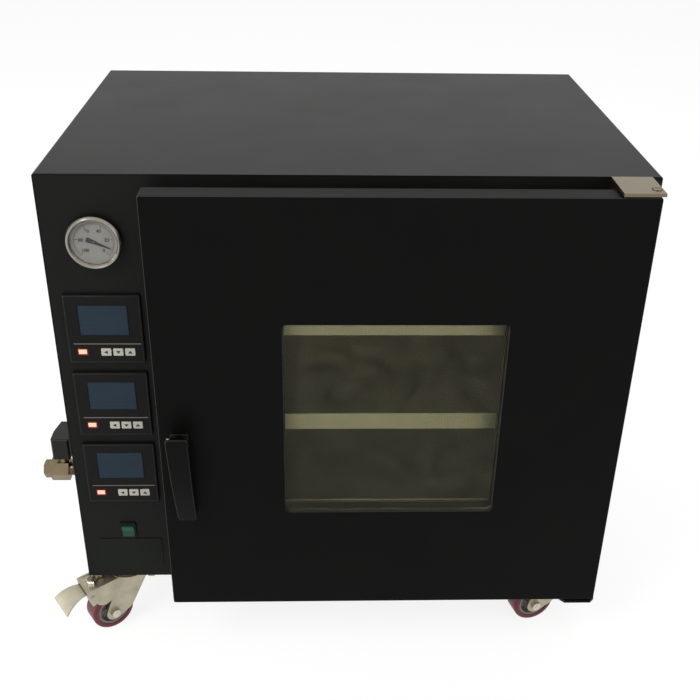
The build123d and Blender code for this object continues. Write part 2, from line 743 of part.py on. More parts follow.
with BuildPart() as controller_screens:
    for z in controller_z:
        plate(at_depth(controller_front + fit_gap), column_middle - screen_width / 2,
              column_middle + screen_width / 2, z + screen_rise - screen_height / 2,
              z + screen_rise + screen_height / 2, -screen_thickness)
save(controller_screens, "controller_screens")

with BuildPart() as controller_lamps:
    for z in controller_z:
        plate(at_depth(controller_front + screen_thickness), column_middle + lamp_offset - lamp_width / 2,
              column_middle + lamp_offset + lamp_width / 2, z - key_drop - lamp_height / 2,
              z - key_drop + lamp_height / 2, screen_thickness + fit_gap)
save(controller_lamps, "controller_lamps")

for number, z in enumerate(controller_z, 1):
    for name, x in zip(key_names, key_x):
        with BuildPart() as key:
            plate(at_depth(controller_front + key_depth), x - key_width / 2, x + key_width / 2,
                  z - key_drop - key_height / 2, z - key_drop + key_height / 2,
                  key_depth + key_proud, key_proud)
            fillet(key.faces().sort_by(Axis.Y)[0].edges(), key_proud / 2)
        save(key, f"key_{number}_{name}")

# ---------------------------------------------------------------- power switch
switch_front = -switch_proud
rocker_half_w = switch_half_w - fit_gap - face_gap
rocker_half_h = switch_half_h - fit_gap - face_gap - 2 * switch_proud * sin(radians(rocker_tilt))
with BuildPart() as switch_housing:
    plate(at_depth(0), column_middle - switch_width / 2, column_middle + switch_width / 2,
          switch_z - switch_height / 2, switch_z + switch_height / 2,
          switch_proud, switch_rim)
    fillet(switch_housing.faces().sort_by(Axis.Y)[0].edges(), switch_rim / 3)
    plate(at_depth(0), column_middle - switch_half_w, column_middle + switch_half_w,
          switch_z - switch_half_h, switch_z + switch_half_h, -switch_depth)
    plate(at_depth(switch_front), column_middle - switch_half_w + fit_gap,
          column_middle + switch_half_w - fit_gap, switch_z - switch_half_h + fit_gap,
          switch_z + switch_half_h - fit_gap,
          -(switch_proud + rocker_depth), mode=Mode.SUBTRACT)
save(switch_housing, "switch_housing")

with BuildPart() as switch_rocker:
    rocker_plane = Plane(origin=side_view.from_local_coords((0, switch_z, column_middle)),
                         x_dir=(0, cos(radians(rocker_tilt)), sin(radians(rocker_tilt))), z_dir=(1, 0, 0))
    rocker_rise = rocker_half_h * tan(radians(rocker_tilt))
    with BuildSketch(rocker_plane) as rocker_outline:
        with BuildLine():
            Polyline((switch_front - rocker_rise, rocker_half_h), (switch_front, 0),
                     (switch_front - rocker_rise, -rocker_half_h), (0, -rocker_half_h),
                     (rocker_depth / 2, 0), (0, rocker_half_h), close=True)
        make_face()
    extrude(rocker_outline.sketch, amount=rocker_half_w, both=True)
save(switch_rocker, "switch_rocker")

with BuildPart() as service_plate:
    plate(at_depth(0), column_middle - service_plate_width / 2, column_middle + service_plate_width / 2,
          service_plate_top - service_plate_height, service_plate_top,
          service_plate_thickness, 2 * service_plate_thickness)
save(service_plate, "service_plate")

# ---------------------------------------------------------------- vacuum valve and tube
lever_foot = valve_height + valve_flats / 2 + bonnet_height + fit_gap
with BuildPart() as valve_body:
    disc(at_side(valve_body_x + valve_body_length), valve_setback, valve_height, neck_radius,
         -valve_body_x - valve_body_length + panel_lip)
    hexagon(at_side(-valve_nut), valve_setback, valve_height, valve_flats, valve_nut)
    hexagon(at_side(valve_body_x), valve_setback, valve_height, valve_flats, valve_body_length)
    hexagon(at_side(-valve_reach), valve_setback, valve_height, nipple_flats, nipple_length)
    chamfer(valve_body.faces().sort_by(Axis.X)[0].edges(), sheet)
    disc(at_side(-valve_reach), valve_setback, valve_height, tube_radius, nipple_length, Mode.SUBTRACT)
    disc(at_height(valve_height), valve_stem_x, valve_setback, bonnet_radius, valve_flats / 2 + bonnet_height)
    disc(at_height(valve_height), valve_stem_x, valve_setback, stem_radius,
         lever_foot + stem_height - valve_height)
save(valve_body, "valve_body")

lever_peak = valve_height + valve_flats / 2 + lever_height
with BuildPart() as valve_lever:
    with BuildSketch(at_side(valve_stem_x)) as lever_side:
        with BuildLine():
            Polyline((valve_setback - lever_front, lever_foot), (valve_setback + lever_front, lever_foot),
                     (valve_setback + lever_front, lever_peak - lever_arm),
                     (valve_setback + lever_length, lever_peak - lever_arm * 3 / 4),
                     (valve_setback + lever_length, lever_peak),
                     (valve_setback - lever_front, lever_peak), close=True)
        make_face()
        fillet(lever_side.vertices().group_by(Axis.Y)[-1], lever_round)
    extrude(lever_side.sketch, amount=lever_width / 2, both=True)
    with BuildSketch(at_height(lever_foot)) as lever_plan:
        with BuildLine():
            Polyline((valve_stem_x - lever_width / 2, valve_setback - lever_front),
                     (valve_stem_x + lever_width / 2, valve_setback - lever_front),
                     (valve_stem_x + lever_width / 2, valve_setback + lever_front),
                     (valve_stem_x + lever_tail / 2, valve_setback + lever_length),
                     (valve_stem_x - lever_tail / 2, valve_setback + lever_length),
                     (valve_stem_x - lever_width / 2, valve_setback + lever_front), close=True)
        make_face()
        fillet(lever_plan.vertices(), lever_round)
    extrude(lever_plan.sketch, amount=lever_peak - lever_foot, mode=Mode.INTERSECT)
    disc(at_height(lever_foot), valve_stem_x, valve_setback, stem_radius + running,
         stem_height + fit_gap, Mode.SUBTRACT)
save(valve_lever, "valve_lever")

with BuildPart() as vacuum_tube:
    riser_x = panel_lip + 2 * tube_bend
    gauge_end = gauge_case_depth + gauge_stem
    with BuildLine() as riser:
        FilletPolyline(top_view.from_local_coords((panel_lip, valve_setback, valve_height)),
                       top_view.from_local_coords((riser_x, valve_setback, valve_height)),
                       top_view.from_local_coords((riser_x, valve_setback, gauge_z)),
                       radius=tube_bend)
    with BuildSketch(at_side(panel_lip)):
        with Locations((valve_setback, valve_height)):
            Circle(tube_radius)
    sweep(path=riser.line)
    disc(at_side(riser_x), valve_setback, tube_branch_height, tube_radius - sheet,
         chamber_x0 - chamber_wall - riser_x)
    disc(at_depth(gauge_end), column_middle, gauge_z, tube_radius, gauge_end - valve_setback - tube_radius)
save(vacuum_tube, "vacuum_tube")

# ---------------------------------------------------------------- rear gland
with BuildPart() as power_gland:
    hexagon(at_depth(cabinet_depth), column_middle, gland_height, gland_flats, -gland_radius)
    disc(at_depth(cabinet_depth + gland_radius), column_middle, gland_height, gland_radius,
         -(gland_reach - gland_radius))
    fillet(power_gland.faces().sort_by(Axis.Y)[-1].edges(), gland_radius / 4)
    disc(at_depth(cabinet_depth), column_middle, gland_height, gland_radius - sheet, panel_lip)
    disc(at_depth(cabinet_depth + gland_reach), column_middle, gland_height, gland_radius / 2,
         gland_reach + panel_lip, Mode.SUBTRACT)
save(power_gland, "power_gland")

# ---------------------------------------------------------------- casters
crown_top = -(caster_plate_thickness + race_height + fit_gap)
kingpin_foot = crown_top - crown_thickness - fit_gap
cheek_inner = wheel_width / 2 + cheek_gap
cheek_outer = cheek_inner + cheek
bridge_end = pedal_pivot_u + bridge_lip
caster_corners = {
    "front_left": (caster_inset_x, caster_inset_y),
    "front_right": (cabinet_width - caster_inset_x, caster_inset_y),
    "rear_left": (caster_inset_x, cabinet_depth - caster_inset_y),
    "rear_right": (cabinet_width - caster_inset_x, cabinet_depth - caster_inset_y),
}


def caster_plane(place):
    """A caster's own level plane: its origin is where the swivel axis meets the cabinet, x the trail."""
    turn = radians(caster_turns[place])
    return Plane(origin=top_view.from_local_coords((*caster_corners[place], 0)),
                 x_dir=(-cos(turn), -sin(turn), 0), z_dir=(0, 0, 1))


def trail_plane(base):
    """The upright plane through the swivel axis and the wheel's middle: x is the trail, y is up."""
    return Plane(origin=base.origin, x_dir=base.x_dir, z_dir=-base.y_dir)


with BuildPart() as caster_plates:
    for place, (x, y) in caster_corners.items():
        plate(at_height(0), x - caster_plate_length / 2, x + caster_plate_length / 2,
              y - caster_plate_width / 2, y + caster_plate_width / 2, -caster_plate_thickness, sheet)
        disc(at_height(-caster_plate_thickness), x, y, race_radius, -race_height)
        disc(at_height(-caster_plate_thickness), x, y, kingpin_radius, kingpin_foot + caster_plate_thickness)
        disc(at_height(kingpin_foot), x, y, kingpin_head_radius, -kingpin_head)
        for side_x in (-1, 1):
            for side_y in (-1, 1):
                hexagon(at_height(-caster_plate_thickness), x + side_x * bolt_spacing_x / 2,
                        y + side_y * bolt_spacing_y / 2, bolt_flats, -bolt_head)
save(caster_plates, "caster_plates")

for place in caster_corners:
    base = caster_plane(place)
    trail = trail_plane(base)
    braked = place in braked_casters
    with BuildPart() as fork:
        with BuildSketch(trail) as leg:
            with Locations((0, crown_top - crown_thickness)):
                Rectangle(2 * crown_radius - 4 * crown_thickness, 2 * crown_thickness)
            with Locations((caster_trail, axle_z)):
                Circle(lug_radius)
            with Locations((caster_trail / 2, axle_z + lug_radius * 3 / 4)):
                Circle(lug_radius)
            make_hull()
        extrude(leg.sketch, amount=cheek_outer, both=True)
        if braked:
            with BuildSketch(trail) as ear:
                with Locations((0, crown_top - crown_thickness)):
                    Rectangle(crown_radius, 2 * crown_thickness)
                with Locations((pedal_pivot_u - pedal_barrel / 2, pedal_pivot_z)):
                    Circle(pedal_barrel + crown_thickness)
                with Locations((caster_trail + lug_radius, axle_z / 2)):
                    Circle(lug_radius)
                with Locations((bridge_end - pedal_barrel, bridge_top - bridge_sheet / 2)):
                    Rectangle(2 * pedal_barrel, bridge_sheet)
                make_hull()
            extrude(ear.sketch, amount=cheek_outer, both=True)
        with BuildSketch(trail) as wheel_space:
            with Locations((caster_trail, (crown_top - crown_thickness - caster_height) / 2)):
                Rectangle(4 * crown_radius, caster_height + crown_top - crown_thickness)
        extrude(wheel_space.sketch, amount=cheek_inner, both=True, mode=Mode.SUBTRACT)
        disc(base.offset(crown_top), 0, 0, crown_radius, -crown_thickness)
        with BuildSketch(base.offset(crown_top)) as above:
            Rectangle(6 * crown_radius, 6 * crown_radius)
        extrude(above.sketch, amount=crown_radius, mode=Mode.SUBTRACT)
        disc(base.offset(crown_top), 0, 0, kingpin_radius + running, -crown_thickness, Mode.SUBTRACT)
        with BuildSketch(trail) as axle:
            with Locations((caster_trail, axle_z)):
                Circle(axle_radius)
        extrude(axle.sketch, amount=cheek_outer, both=True)
        for end in (-1, 1):
            hexagon(trail.offset(end * cheek_outer), caster_trail, axle_z, bolt_flats, end * bolt_head)
        if braked:
            with BuildSketch(base.offset(bridge_top)) as bridge:
                with Locations(((crown_radius + bridge_end) / 2, 0)):
                    Rectangle(bridge_end - crown_radius, 2 * cheek_outer)
            extrude(bridge.sketch, amount=-bridge_sheet)
            hexagon(base.offset(bridge_top), pedal_pivot_u - bridge_lip, 0, bolt_flats, bridge_bolt)
            with BuildSketch(trail) as rivet:
                with Locations((pedal_pivot_u, pedal_pivot_z)):
                    Circle(pedal_pin_radius)
            extrude(rivet.sketch, amount=cheek_outer + sheet, both=True)
    save(fork, f"fork_{place}")

    wheel_middle = base.from_local_coords((caster_trail, 0, axle_z))
    wheel_section = Plane(origin=wheel_middle, x_dir=base.y_dir, z_dir=base.x_dir)
    wheel_axis = Axis(wheel_middle, base.y_dir)
    with BuildPart() as tyre:
        with BuildSketch(wheel_section) as tyre_section:
            with Locations((0, wheel_radius - tread / 2)):
                Rectangle(wheel_width, tread)
            fillet(tyre_section.vertices().group_by(Axis.Y)[-1], tread_round)
        revolve(tyre_section.sketch, axis=wheel_axis)
    save(tyre, f"tyre_{place}")

    rim_radius = wheel_radius - tread
    boss_radius = axle_radius * 2
    with BuildPart() as hub:
        with BuildSketch(wheel_section) as hub_section:
            with Locations((0, (rim_radius + boss_radius) / 2)):
                Rectangle(wheel_width / 3, rim_radius - boss_radius)
            with Locations((0, rim_radius - tread / 4 - running)):
                Rectangle(wheel_width - 2 * sheet, tread / 2)
            with Locations((0, (boss_radius + axle_radius + running) / 2)):
                Rectangle(wheel_width + sheet, boss_radius - axle_radius - running)
        revolve(hub_section.sketch, axis=wheel_axis)
    save(hub, f"hub_{place}")

    if braked:
        with BuildPart() as pedal:
            shoe_u = caster_trail + (wheel_radius + shoe_gap) * cos(radians(shoe_angle))
            shoe_z = axle_z + (wheel_radius + shoe_gap) * sin(radians(shoe_angle))
            pedal_top = pedal_pivot_z + pedal_barrel + pedal_sheet / 2
            pedal_curve_u = pedal_pivot_u + 2 * pedal_barrel
            pedal_reach = pedal_curve_u + pedal_curl
            with BuildSketch(trail) as pedal_side:
                with BuildLine():
                    flat_top = Line((pedal_pivot_u - 2 * pedal_barrel, pedal_top), (pedal_curve_u, pedal_top))
                    curl_middle = (pedal_curve_u, pedal_top - pedal_curl)
                    curl_top = CenterArc(curl_middle, pedal_curl, 90, -pedal_sweep)
                    curl_under = CenterArc(curl_middle, pedal_curl - pedal_sheet, 90, -pedal_sweep)
                    Line(curl_top @ 1, curl_under @ 1)
                    flat_under = Line(curl_under @ 0,
                                      (pedal_pivot_u - 2 * pedal_barrel, pedal_top - pedal_sheet))
                    Line(flat_under @ 1, flat_top @ 0)
                make_face()
            extrude(pedal_side.sketch, amount=pedal_flare / 2, both=True)
            with BuildSketch(base) as plan:
                with BuildLine():
                    Polyline((0, -pedal_width / 2), (pedal_curve_u, -pedal_width / 2),
                             (pedal_reach, -pedal_flare / 2), (pedal_reach, pedal_flare / 2),
                             (pedal_curve_u, pedal_width / 2), (0, pedal_width / 2), close=True)
                make_face()
            extrude(plan.sketch, amount=-caster_height, mode=Mode.INTERSECT)
            with BuildSketch(trail) as barrel:
                with Locations((pedal_pivot_u, pedal_pivot_z)):
                    Circle(pedal_barrel)
                with BuildLine():
                    Polyline((pedal_pivot_u - pedal_barrel, pedal_pivot_z),
                             (pedal_pivot_u + pedal_barrel, pedal_pivot_z),
                             (shoe_u + pedal_barrel, shoe_z), (shoe_u, shoe_z), close=True)
                make_face()
            extrude(barrel.sketch, amount=wheel_width / 2 - sheet, both=True)
            with BuildSketch(trail) as pivot_bore:
                with Locations((pedal_pivot_u, pedal_pivot_z)):
                    Circle(pedal_pin_radius + running)
            extrude(pivot_bore.sketch, amount=wheel_width, both=True, mode=Mode.SUBTRACT)
        save(pedal, f"brake_pedal_{place}")
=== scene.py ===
from math import cos, pi, radians, sin

import bmesh
import bpy
from mathutils import Matrix, Vector


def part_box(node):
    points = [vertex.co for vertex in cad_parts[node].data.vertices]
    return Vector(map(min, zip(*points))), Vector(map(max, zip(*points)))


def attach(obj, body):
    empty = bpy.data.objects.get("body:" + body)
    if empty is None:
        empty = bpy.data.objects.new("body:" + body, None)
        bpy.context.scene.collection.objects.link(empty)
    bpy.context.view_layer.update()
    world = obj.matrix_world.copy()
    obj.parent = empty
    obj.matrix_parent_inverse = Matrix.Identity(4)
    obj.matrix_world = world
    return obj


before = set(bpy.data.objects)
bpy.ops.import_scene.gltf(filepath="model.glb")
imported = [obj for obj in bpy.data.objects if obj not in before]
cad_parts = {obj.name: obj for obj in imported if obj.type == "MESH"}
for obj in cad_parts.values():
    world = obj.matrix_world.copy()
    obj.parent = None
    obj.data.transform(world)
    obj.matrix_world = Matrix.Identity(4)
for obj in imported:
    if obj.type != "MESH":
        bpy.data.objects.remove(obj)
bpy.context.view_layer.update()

# ---------------------------------------------------------------- places
# Places are given in millimetres from the cabinet's lower front left corner: x right, y back, z up.
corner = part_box("outer_cover")[0]
MM = 0.001


def at(x, y, z):
    """A place measured in millimetres from the cabinet's corner, as a point of the frame."""
    return corner + Vector((x, y, z)) * MM


def span(node_name):
    """A node's lowest and highest corners, in millimetres from the cabinet's corner."""
    low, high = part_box(node_name)
    return (low - corner) / MM, (high - corner) / MM


FRONT = Vector((0, -1, 0))
BACK = Vector((0, 1, 0))
UP = Vector((0, 0, 1))
LEFT = Vector((-1, 0, 0))


# ---------------------------------------------------------------- material tools
def linear(code):
    """An sRGB hex colour as linear red, green, blue and alpha."""
    parts = [int(code[i:i + 2], 16) / 255 for i in (1, 3, 5)]
    return [c / 12.92 if c <= 0.04045 else ((c + 0.055) / 1.055) ** 2.4 for c in parts] + [1.0]


def per(size):
    """The texture scale at which one cell of the pattern is the given number of millimetres wide."""
    return 1 / (size * MM)


def add_node(tree, kind, settings=None, links=None):
    """Add a shader node. Settings go to its properties or sockets, links join outputs to its sockets."""
    made = tree.nodes.new("ShaderNode" + kind)
    for name, value in (settings or {}).items():
        if isinstance(name, str) and hasattr(made, name):
            setattr(made, name, value)
        else:
            made.inputs[name].default_value = value
    for name, output in (links or {}).items():
        tree.links.new(output, made.inputs[name])
    return made


def start_material(name):
    """An empty node material, with its tree, its output node and its coordinates on the object."""
    material = bpy.data.materials.new(name)
    material.use_nodes = True
    tree = material.node_tree
    tree.nodes.clear()
    output = add_node(tree, "OutputMaterial")
    place = add_node(tree, "TexCoord").outputs["Object"]
    return material, tree, output, place


# ---------------------------------------------------------------- materials
def rounded_edges(tree, first, last):
    """A mask of rounded edges: 0 where a face looks along an axis, 1 where it turns from one to the next."""
    normal = add_node(tree, "NewGeometry").outputs["Normal"]
    size = add_node(tree, "VectorMath", {"operation": "ABSOLUTE"}, {0: normal})
    each = add_node(tree, "SeparateXYZ", None, {"Vector": size.outputs["Vector"]})
    wide = add_node(tree, "Math", {"operation": "MAXIMUM"}, {0: each.outputs["X"], 1: each.outputs["Y"]})
    most = add_node(tree, "Math", {"operation": "MAXIMUM"}, {0: wide.outputs["Value"], 1: each.outputs["Z"]})
    return add_node(tree, "MapRange", {"From Min": first, "From Max": last, "To Min": 0.0, "To Max": 1.0},
                    {"Value": most.outputs["Value"]}).outputs["Result"]


def powder_coat(name, base, worn, edge_highlight, roughness, peel, ior):
    """Epoxy polyester powder, baked on sheet steel: satin, with orange peel that breaks up highlights, and
    paler rounded edges that are a painted highlight.
    """
    material, tree, output, place = start_material(name)
    # Handling and dust leave soft patches a hand's width across
    patches = add_node(tree, "TexNoise", {"Scale": per(90), "Detail": 4}, {"Vector": place})
    flat = add_node(tree, "Mix", {"data_type": "RGBA", 6: linear(base), 7: linear(worn)},
                    {0: patches.outputs["Fac"]})
    # Rounded edges are painted paler: a painted highlight along their fillets
    colour = add_node(tree, "Mix", {"data_type": "RGBA", 7: linear(edge_highlight)},
                      {0: rounded_edges(tree, 0.95, 0.8), 6: flat.outputs[2]})
    # Orange peel has cells about 1.5 mm wide, and grains of powder about 0.5 mm
    cells = add_node(tree, "TexNoise", {"Scale": per(1.5), "Detail": 1}, {"Vector": place})
    grains = add_node(tree, "TexNoise", {"Scale": per(0.5), "Detail": 0}, {"Vector": place})
    wave = add_node(tree, "Bump", {"Strength": peel, "Distance": 0.05 * MM}, {"Height": cells.outputs["Fac"]})
    grit = add_node(tree, "Bump", {"Strength": peel, "Distance": 0.012 * MM},
                    {"Height": grains.outputs["Fac"], "Normal": wave.outputs["Normal"]})
    gloss = add_node(tree, "MapRange", {"To Min": roughness - 0.04, "To Max": roughness + 0.06},
                     {"Value": patches.outputs["Fac"]})
    shader = add_node(tree, "BsdfPrincipled", {"IOR": ior},
                      {"Base Color": colour.outputs[2], "Roughness": gloss.outputs["Result"],
                       "Normal": grit.outputs["Normal"]})
    tree.links.new(shader.outputs["BSDF"], output.inputs["Surface"])
    return material


def brushed_metal(name, base, dark, roughness, stretch, line):
    """Rolled and brushed metal: fine scratches one way, which draw highlights out across them."""
    material, tree, output, place = start_material(name)
    # Scratches a fraction of a millimetre wide and some centimetres long
    run = add_node(tree, "Mapping", {"Scale": [per(size) for size in stretch]}, {"Vector": place})
    scratches = add_node(tree, "TexNoise", {"Scale": 1.0, "Detail": 3}, {"Vector": run.outputs["Vector"]})
    stains = add_node(tree, "TexNoise", {"Scale": per(35), "Detail": 3}, {"Vector": place})
    colour = add_node(tree, "Mix", {"data_type": "RGBA", 6: linear(base), 7: linear(dark)},
                      {0: stains.outputs["Fac"]})
    relief = add_node(tree, "Bump", {"Strength": line, "Distance": 0.02 * MM},
                      {"Height": scratches.outputs["Fac"]})
    gloss = add_node(tree, "MapRange", {"To Min": roughness - 0.08, "To Max": roughness + 0.08},
                     {"Value": scratches.outputs["Fac"]})
    shader = add_node(tree, "BsdfPrincipled", {"Metallic": 1.0},
                      {"Base Color": colour.outputs[2], "Roughness": gloss.outputs["Result"],
                       "Normal": relief.outputs["Normal"]})
    tree.links.new(shader.outputs["BSDF"], output.inputs["Surface"])
    return material


def plated_steel(name, base, cloud, roughness):
    """Barrel-plated steel: a soft cloudy shine from the tumbled plating."""
    material, tree, output, place = start_material(name)
    # Plating clouds about 25 mm across, and tumbling pits about 0.8 mm
    clouds = add_node(tree, "TexNoise", {"Scale": per(25), "Detail": 3}, {"Vector": place})
    pits = add_node(tree, "TexVoronoi", {"Scale": per(0.8)}, {"Vector": place})
    colour = add_node(tree, "Mix", {"data_type": "RGBA", 6: linear(base), 7: linear(cloud)},
                      {0: clouds.outputs["Fac"]})
    relief = add_node(tree, "Bump", {"Strength": 0.12, "Distance": 0.02 * MM},
                      {"Height": pits.outputs["Distance"]})
    gloss = add_node(tree, "MapRange", {"To Min": roughness - 0.08, "To Max": roughness + 0.12},
                     {"Value": clouds.outputs["Fac"]})
    shader = add_node(tree, "BsdfPrincipled", {"Metallic": 1.0},
                      {"Base Color": colour.outputs[2], "Roughness": gloss.outputs["Result"],
                       "Normal": relief.outputs["Normal"]})
    tree.links.new(shader.outputs["BSDF"], output.inputs["Surface"])
    return material


def moulded_plastic(name, base, shade, roughness, grain, ior=1.46, glow=None, glow_strength=0.0):
    """Injection-moulded plastic: a fine spark-eroded grain from the mould, slightly uneven in shade."""
    material, tree, output, place = start_material(name)
    mottle = add_node(tree, "TexNoise", {"Scale": per(12), "Detail": 3}, {"Vector": place})
    erosion = add_node(tree, "TexVoronoi", {"Scale": per(grain)}, {"Vector": place})
    colour = add_node(tree, "Mix", {"data_type": "RGBA", 6: linear(base), 7: linear(shade)},
                      {0: mottle.outputs["Fac"]})
    relief = add_node(tree, "Bump", {"Strength": 0.2, "Distance": 0.03 * MM},
                      {"Height": erosion.outputs["Distance"]})
    gloss = add_node(tree, "MapRange", {"To Min": roughness - 0.05, "To Max": roughness + 0.05},
                     {"Value": mottle.outputs["Fac"]})
    settings = {"IOR": ior}
    if glow:
        settings["Emission Color"] = linear(glow)
        settings["Emission Strength"] = glow_strength
    shader = add_node(tree, "BsdfPrincipled", settings,
                      {"Base Color": colour.outputs[2], "Roughness": gloss.outputs["Result"],
                       "Normal": relief.outputs["Normal"]})
    tree.links.new(shader.outputs["BSDF"], output.inputs["Surface"])
    return material


def float_glass(name, tint, pass_tint, ior, haze, haze_most):
    """Float glass, polished flat: it passes light straight to what lies behind and mirrors at its face."""
    material, tree, output, place = start_material(name)
    # Wiping leaves faint smears a finger wide
    smears = add_node(tree, "TexNoise", {"Scale": per(22), "Detail": 5, "Roughness": 0.6}, {"Vector": place})
    gloss = add_node(tree, "MapRange", {"To Min": 0.0, "To Max": 0.06}, {"Value": smears.outputs["Fac"]})
    shader = add_node(tree, "BsdfPrincipled",
                      {"Base Color": linear(tint), "IOR": ior, "Transmission Weight": 1.0},
                      {"Roughness": gloss.outputs["Result"]})
    # Dried steam and dust leave a thin uneven haze
    film = add_node(tree, "BsdfDiffuse", {"Color": linear(haze)})
    cover = add_node(tree, "MapRange",
                     {"From Min": 0.35, "From Max": 0.75, "To Min": 0.0, "To Max": haze_most},
                     {"Value": smears.outputs["Fac"]})
    pane = add_node(tree, "MixShader", None,
                    {0: cover.outputs["Result"], 1: shader.outputs["BSDF"], 2: film.outputs["BSDF"]})
    clear = add_node(tree, "BsdfTransparent", {"Color": linear(pass_tint)})
    path = add_node(tree, "LightPath")
    either = add_node(tree, "MixShader", None,
                      {0: path.outputs["Is Shadow Ray"], 1: pane.outputs["Shader"],
                       2: clear.outputs["BSDF"]})
    tree.links.new(either.outputs["Shader"], output.inputs["Surface"])
    return material


def cast_rubber(name, base, shade, roughness, grain):
    """Cast elastomer: dull, with a faint skin and scuffed patches."""
    material, tree, output, place = start_material(name)
    rubs = add_node(tree, "TexNoise", {"Scale": per(9), "Detail": 4}, {"Vector": place})
    skin = add_node(tree, "TexNoise", {"Scale": per(grain), "Detail": 2}, {"Vector": place})
    colour = add_node(tree, "Mix", {"data_type": "RGBA", 6: linear(base), 7: linear(shade)},
                      {0: rubs.outputs["Fac"]})
    relief = add_node(tree, "Bump", {"Strength": 0.3, "Distance": 0.06 * MM},
                      {"Height": skin.outputs["Fac"]})
    shader = add_node(tree, "BsdfPrincipled", {"IOR": 1.48, "Roughness": roughness},
                      {"Base Color": colour.outputs[2], "Normal": relief.outputs["Normal"]})
    tree.links.new(shader.outputs["BSDF"], output.inputs["Surface"])
    return material


def mineral_wool(name):
    """Bonded mineral wool board: matted yellow-brown fibres some millimetres long, with no shine."""
    material, tree, output, place = start_material(name)
    strands = add_node(tree, "Mapping", {"Scale": (per(9), per(1.2), per(1.2))}, {"Vector": place})
    fibres = add_node(tree, "TexNoise", {"Scale": 1.0, "Detail": 6}, {"Vector": strands.outputs["Vector"]})
    colour = add_node(tree, "Mix", {"data_type": "RGBA", 6: linear("#8d8160"), 7: linear("#b9ac86")},
                      {0: fibres.outputs["Fac"]})
    relief = add_node(tree, "Bump", {"Strength": 0.6, "Distance": 0.5 * MM},
                      {"Height": fibres.outputs["Fac"]})
    shader = add_node(tree, "BsdfPrincipled", {"Roughness": 0.95, "IOR": 1.3},
                      {"Base Color": colour.outputs[2], "Normal": relief.outputs["Normal"]})
    tree.links.new(shader.outputs["BSDF"], output.inputs["Surface"])
    return material


def lcd_screen(name):
    """An unlit liquid crystal display behind smoked acrylic: slate blue, with faint rows of pixels, and a
    faint painted glow though it has no light on.
    """
    material, tree, output, place = start_material(name)
    # Rows of pixels, drawn at 0.9 mm, coarser than real, so that they read as a faint raster
    rows = add_node(tree, "TexWave", {"Scale": per(0.9) / 20, "bands_direction": "Z"}, {"Vector": place})
    drift = add_node(tree, "TexNoise", {"Scale": per(30), "Detail": 2}, {"Vector": place})
    pixels = add_node(tree, "Mix", {"data_type": "RGBA", 6: linear("#141d27"), 7: linear("#18232e")},
                      {0: rows.outputs["Fac"]})
    colour = add_node(tree, "Mix", {"data_type": "RGBA", 7: linear("#1d2a31")},
                      {0: drift.outputs["Fac"], 6: pixels.outputs[2]})
    # The faint slate blue emission is a painted glow: the display is unlit
    shader = add_node(tree, "BsdfPrincipled",
                      {"Roughness": 0.16, "IOR": 1.22, "Emission Color": linear("#1d2a3a"),
                       "Emission Strength": 0.3},
                      {"Base Color": colour.outputs[2]})
    tree.links.new(shader.outputs["BSDF"], output.inputs["Surface"])
    return material


# The fourth colour of each coat is its painted highlight on rounded edges
cabinet_coat = powder_coat("satin_powder_coat_cabinet", "#0e0e0d", "#141413", "#20201f", 0.42, 0.5, 1.2)
door_coat = powder_coat("satin_powder_coat_door", "#060606", "#0a0a09", "#323230", 0.42, 0.5, 1.14)
plate_paint = powder_coat("matt_paint_service_plate", "#111410", "#151814", "#20231f", 0.55, 0.3, 1.2)
handle_enamel = powder_coat("stoved_enamel_handle", "#050505", "#090908", "#222221", 0.38, 0.3, 1.15)
line_paint = powder_coat("stoved_enamel_red_line", "#281413", "#2e1716", "#2e1716", 0.5, 0.2, 1.2)
chamber_steel = brushed_metal("brushed_stainless_chamber", "#cdc7a8", "#a19b84", 0.34, (60, 0.5, 0.5), 0.5)
shelf_metal = brushed_metal("mill_finish_aluminium_shelf", "#97937e", "#868271", 0.42, (50, 0.6, 0.6), 0.5)
liner_steel = brushed_metal("brushed_stainless_door_liner", "#b5b2a6", "#a19e92", 0.36, (0.5, 0.5, 60), 0.5)
bezel_steel = brushed_metal("spun_stainless_bezel", "#9e988d", "#898379", 0.2, (0.4, 0.4, 0.4), 0.15)
hinge_nickel = brushed_metal("brushed_nickel_plate_hinge", "#7d735e", "#6d6452", 0.32, (40, 0.5, 0.5), 0.5)
zinc_plate = plated_steel("zinc_plated_steel_casters", "#c9c2ad", "#8b8574", 0.42)
bright_zinc = plated_steel("zinc_plated_steel_fasteners", "#e2dfd2", "#b0ab9c", 0.18)
valve_nickel = plated_steel("nickel_plated_brass_valve", "#93836a", "#5f5340", 0.2)
screw_zinc = plated_steel("zinc_plated_steel_screws", "#b9b5aa", "#97938a", 0.3)
panel_plastic = moulded_plastic("textured_abs_panel", "#0c0c0c", "#111110", 0.45, 0.7, 1.2)
gloss_plastic = moulded_plastic("polished_abs_bead", "#161615", "#1b1b1a", 0.25, 0.8, 1.3)
key_plastic = moulded_plastic("moulded_abs_key_cap", "#aeaa9f", "#a29e94", 0.4, 0.6)
print_ink = moulded_plastic("screen_print_ink_black", "#151515", "#1c1c1c", 0.55, 0.5)
rocker_green = moulded_plastic("moulded_polycarbonate_rocker", "#0d352a", "#0f4634", 0.22, 0.8, 1.3,
                               "#12503a", 0.04)
lever_vinyl = moulded_plastic("dipped_vinyl_valve_lever", "#10110e", "#181915", 0.42, 0.7, 1.3)
lamp_red = moulded_plastic("moulded_acrylic_lamp_rim", "#5a1c10", "#48140a", 0.25, 0.8, 1.3, "#a03a1a", 0.2)
lamp_core = moulded_plastic("moulded_acrylic_lamp_core", "#e8b8a4", "#d89a84", 0.25, 0.8, 1.4, "#ffa88c", 0.6)
trim_metal = brushed_metal("anodised_aluminium_trim", "#78716e", "#68625f", 0.4, (30, 0.4, 0.4), 0.4)
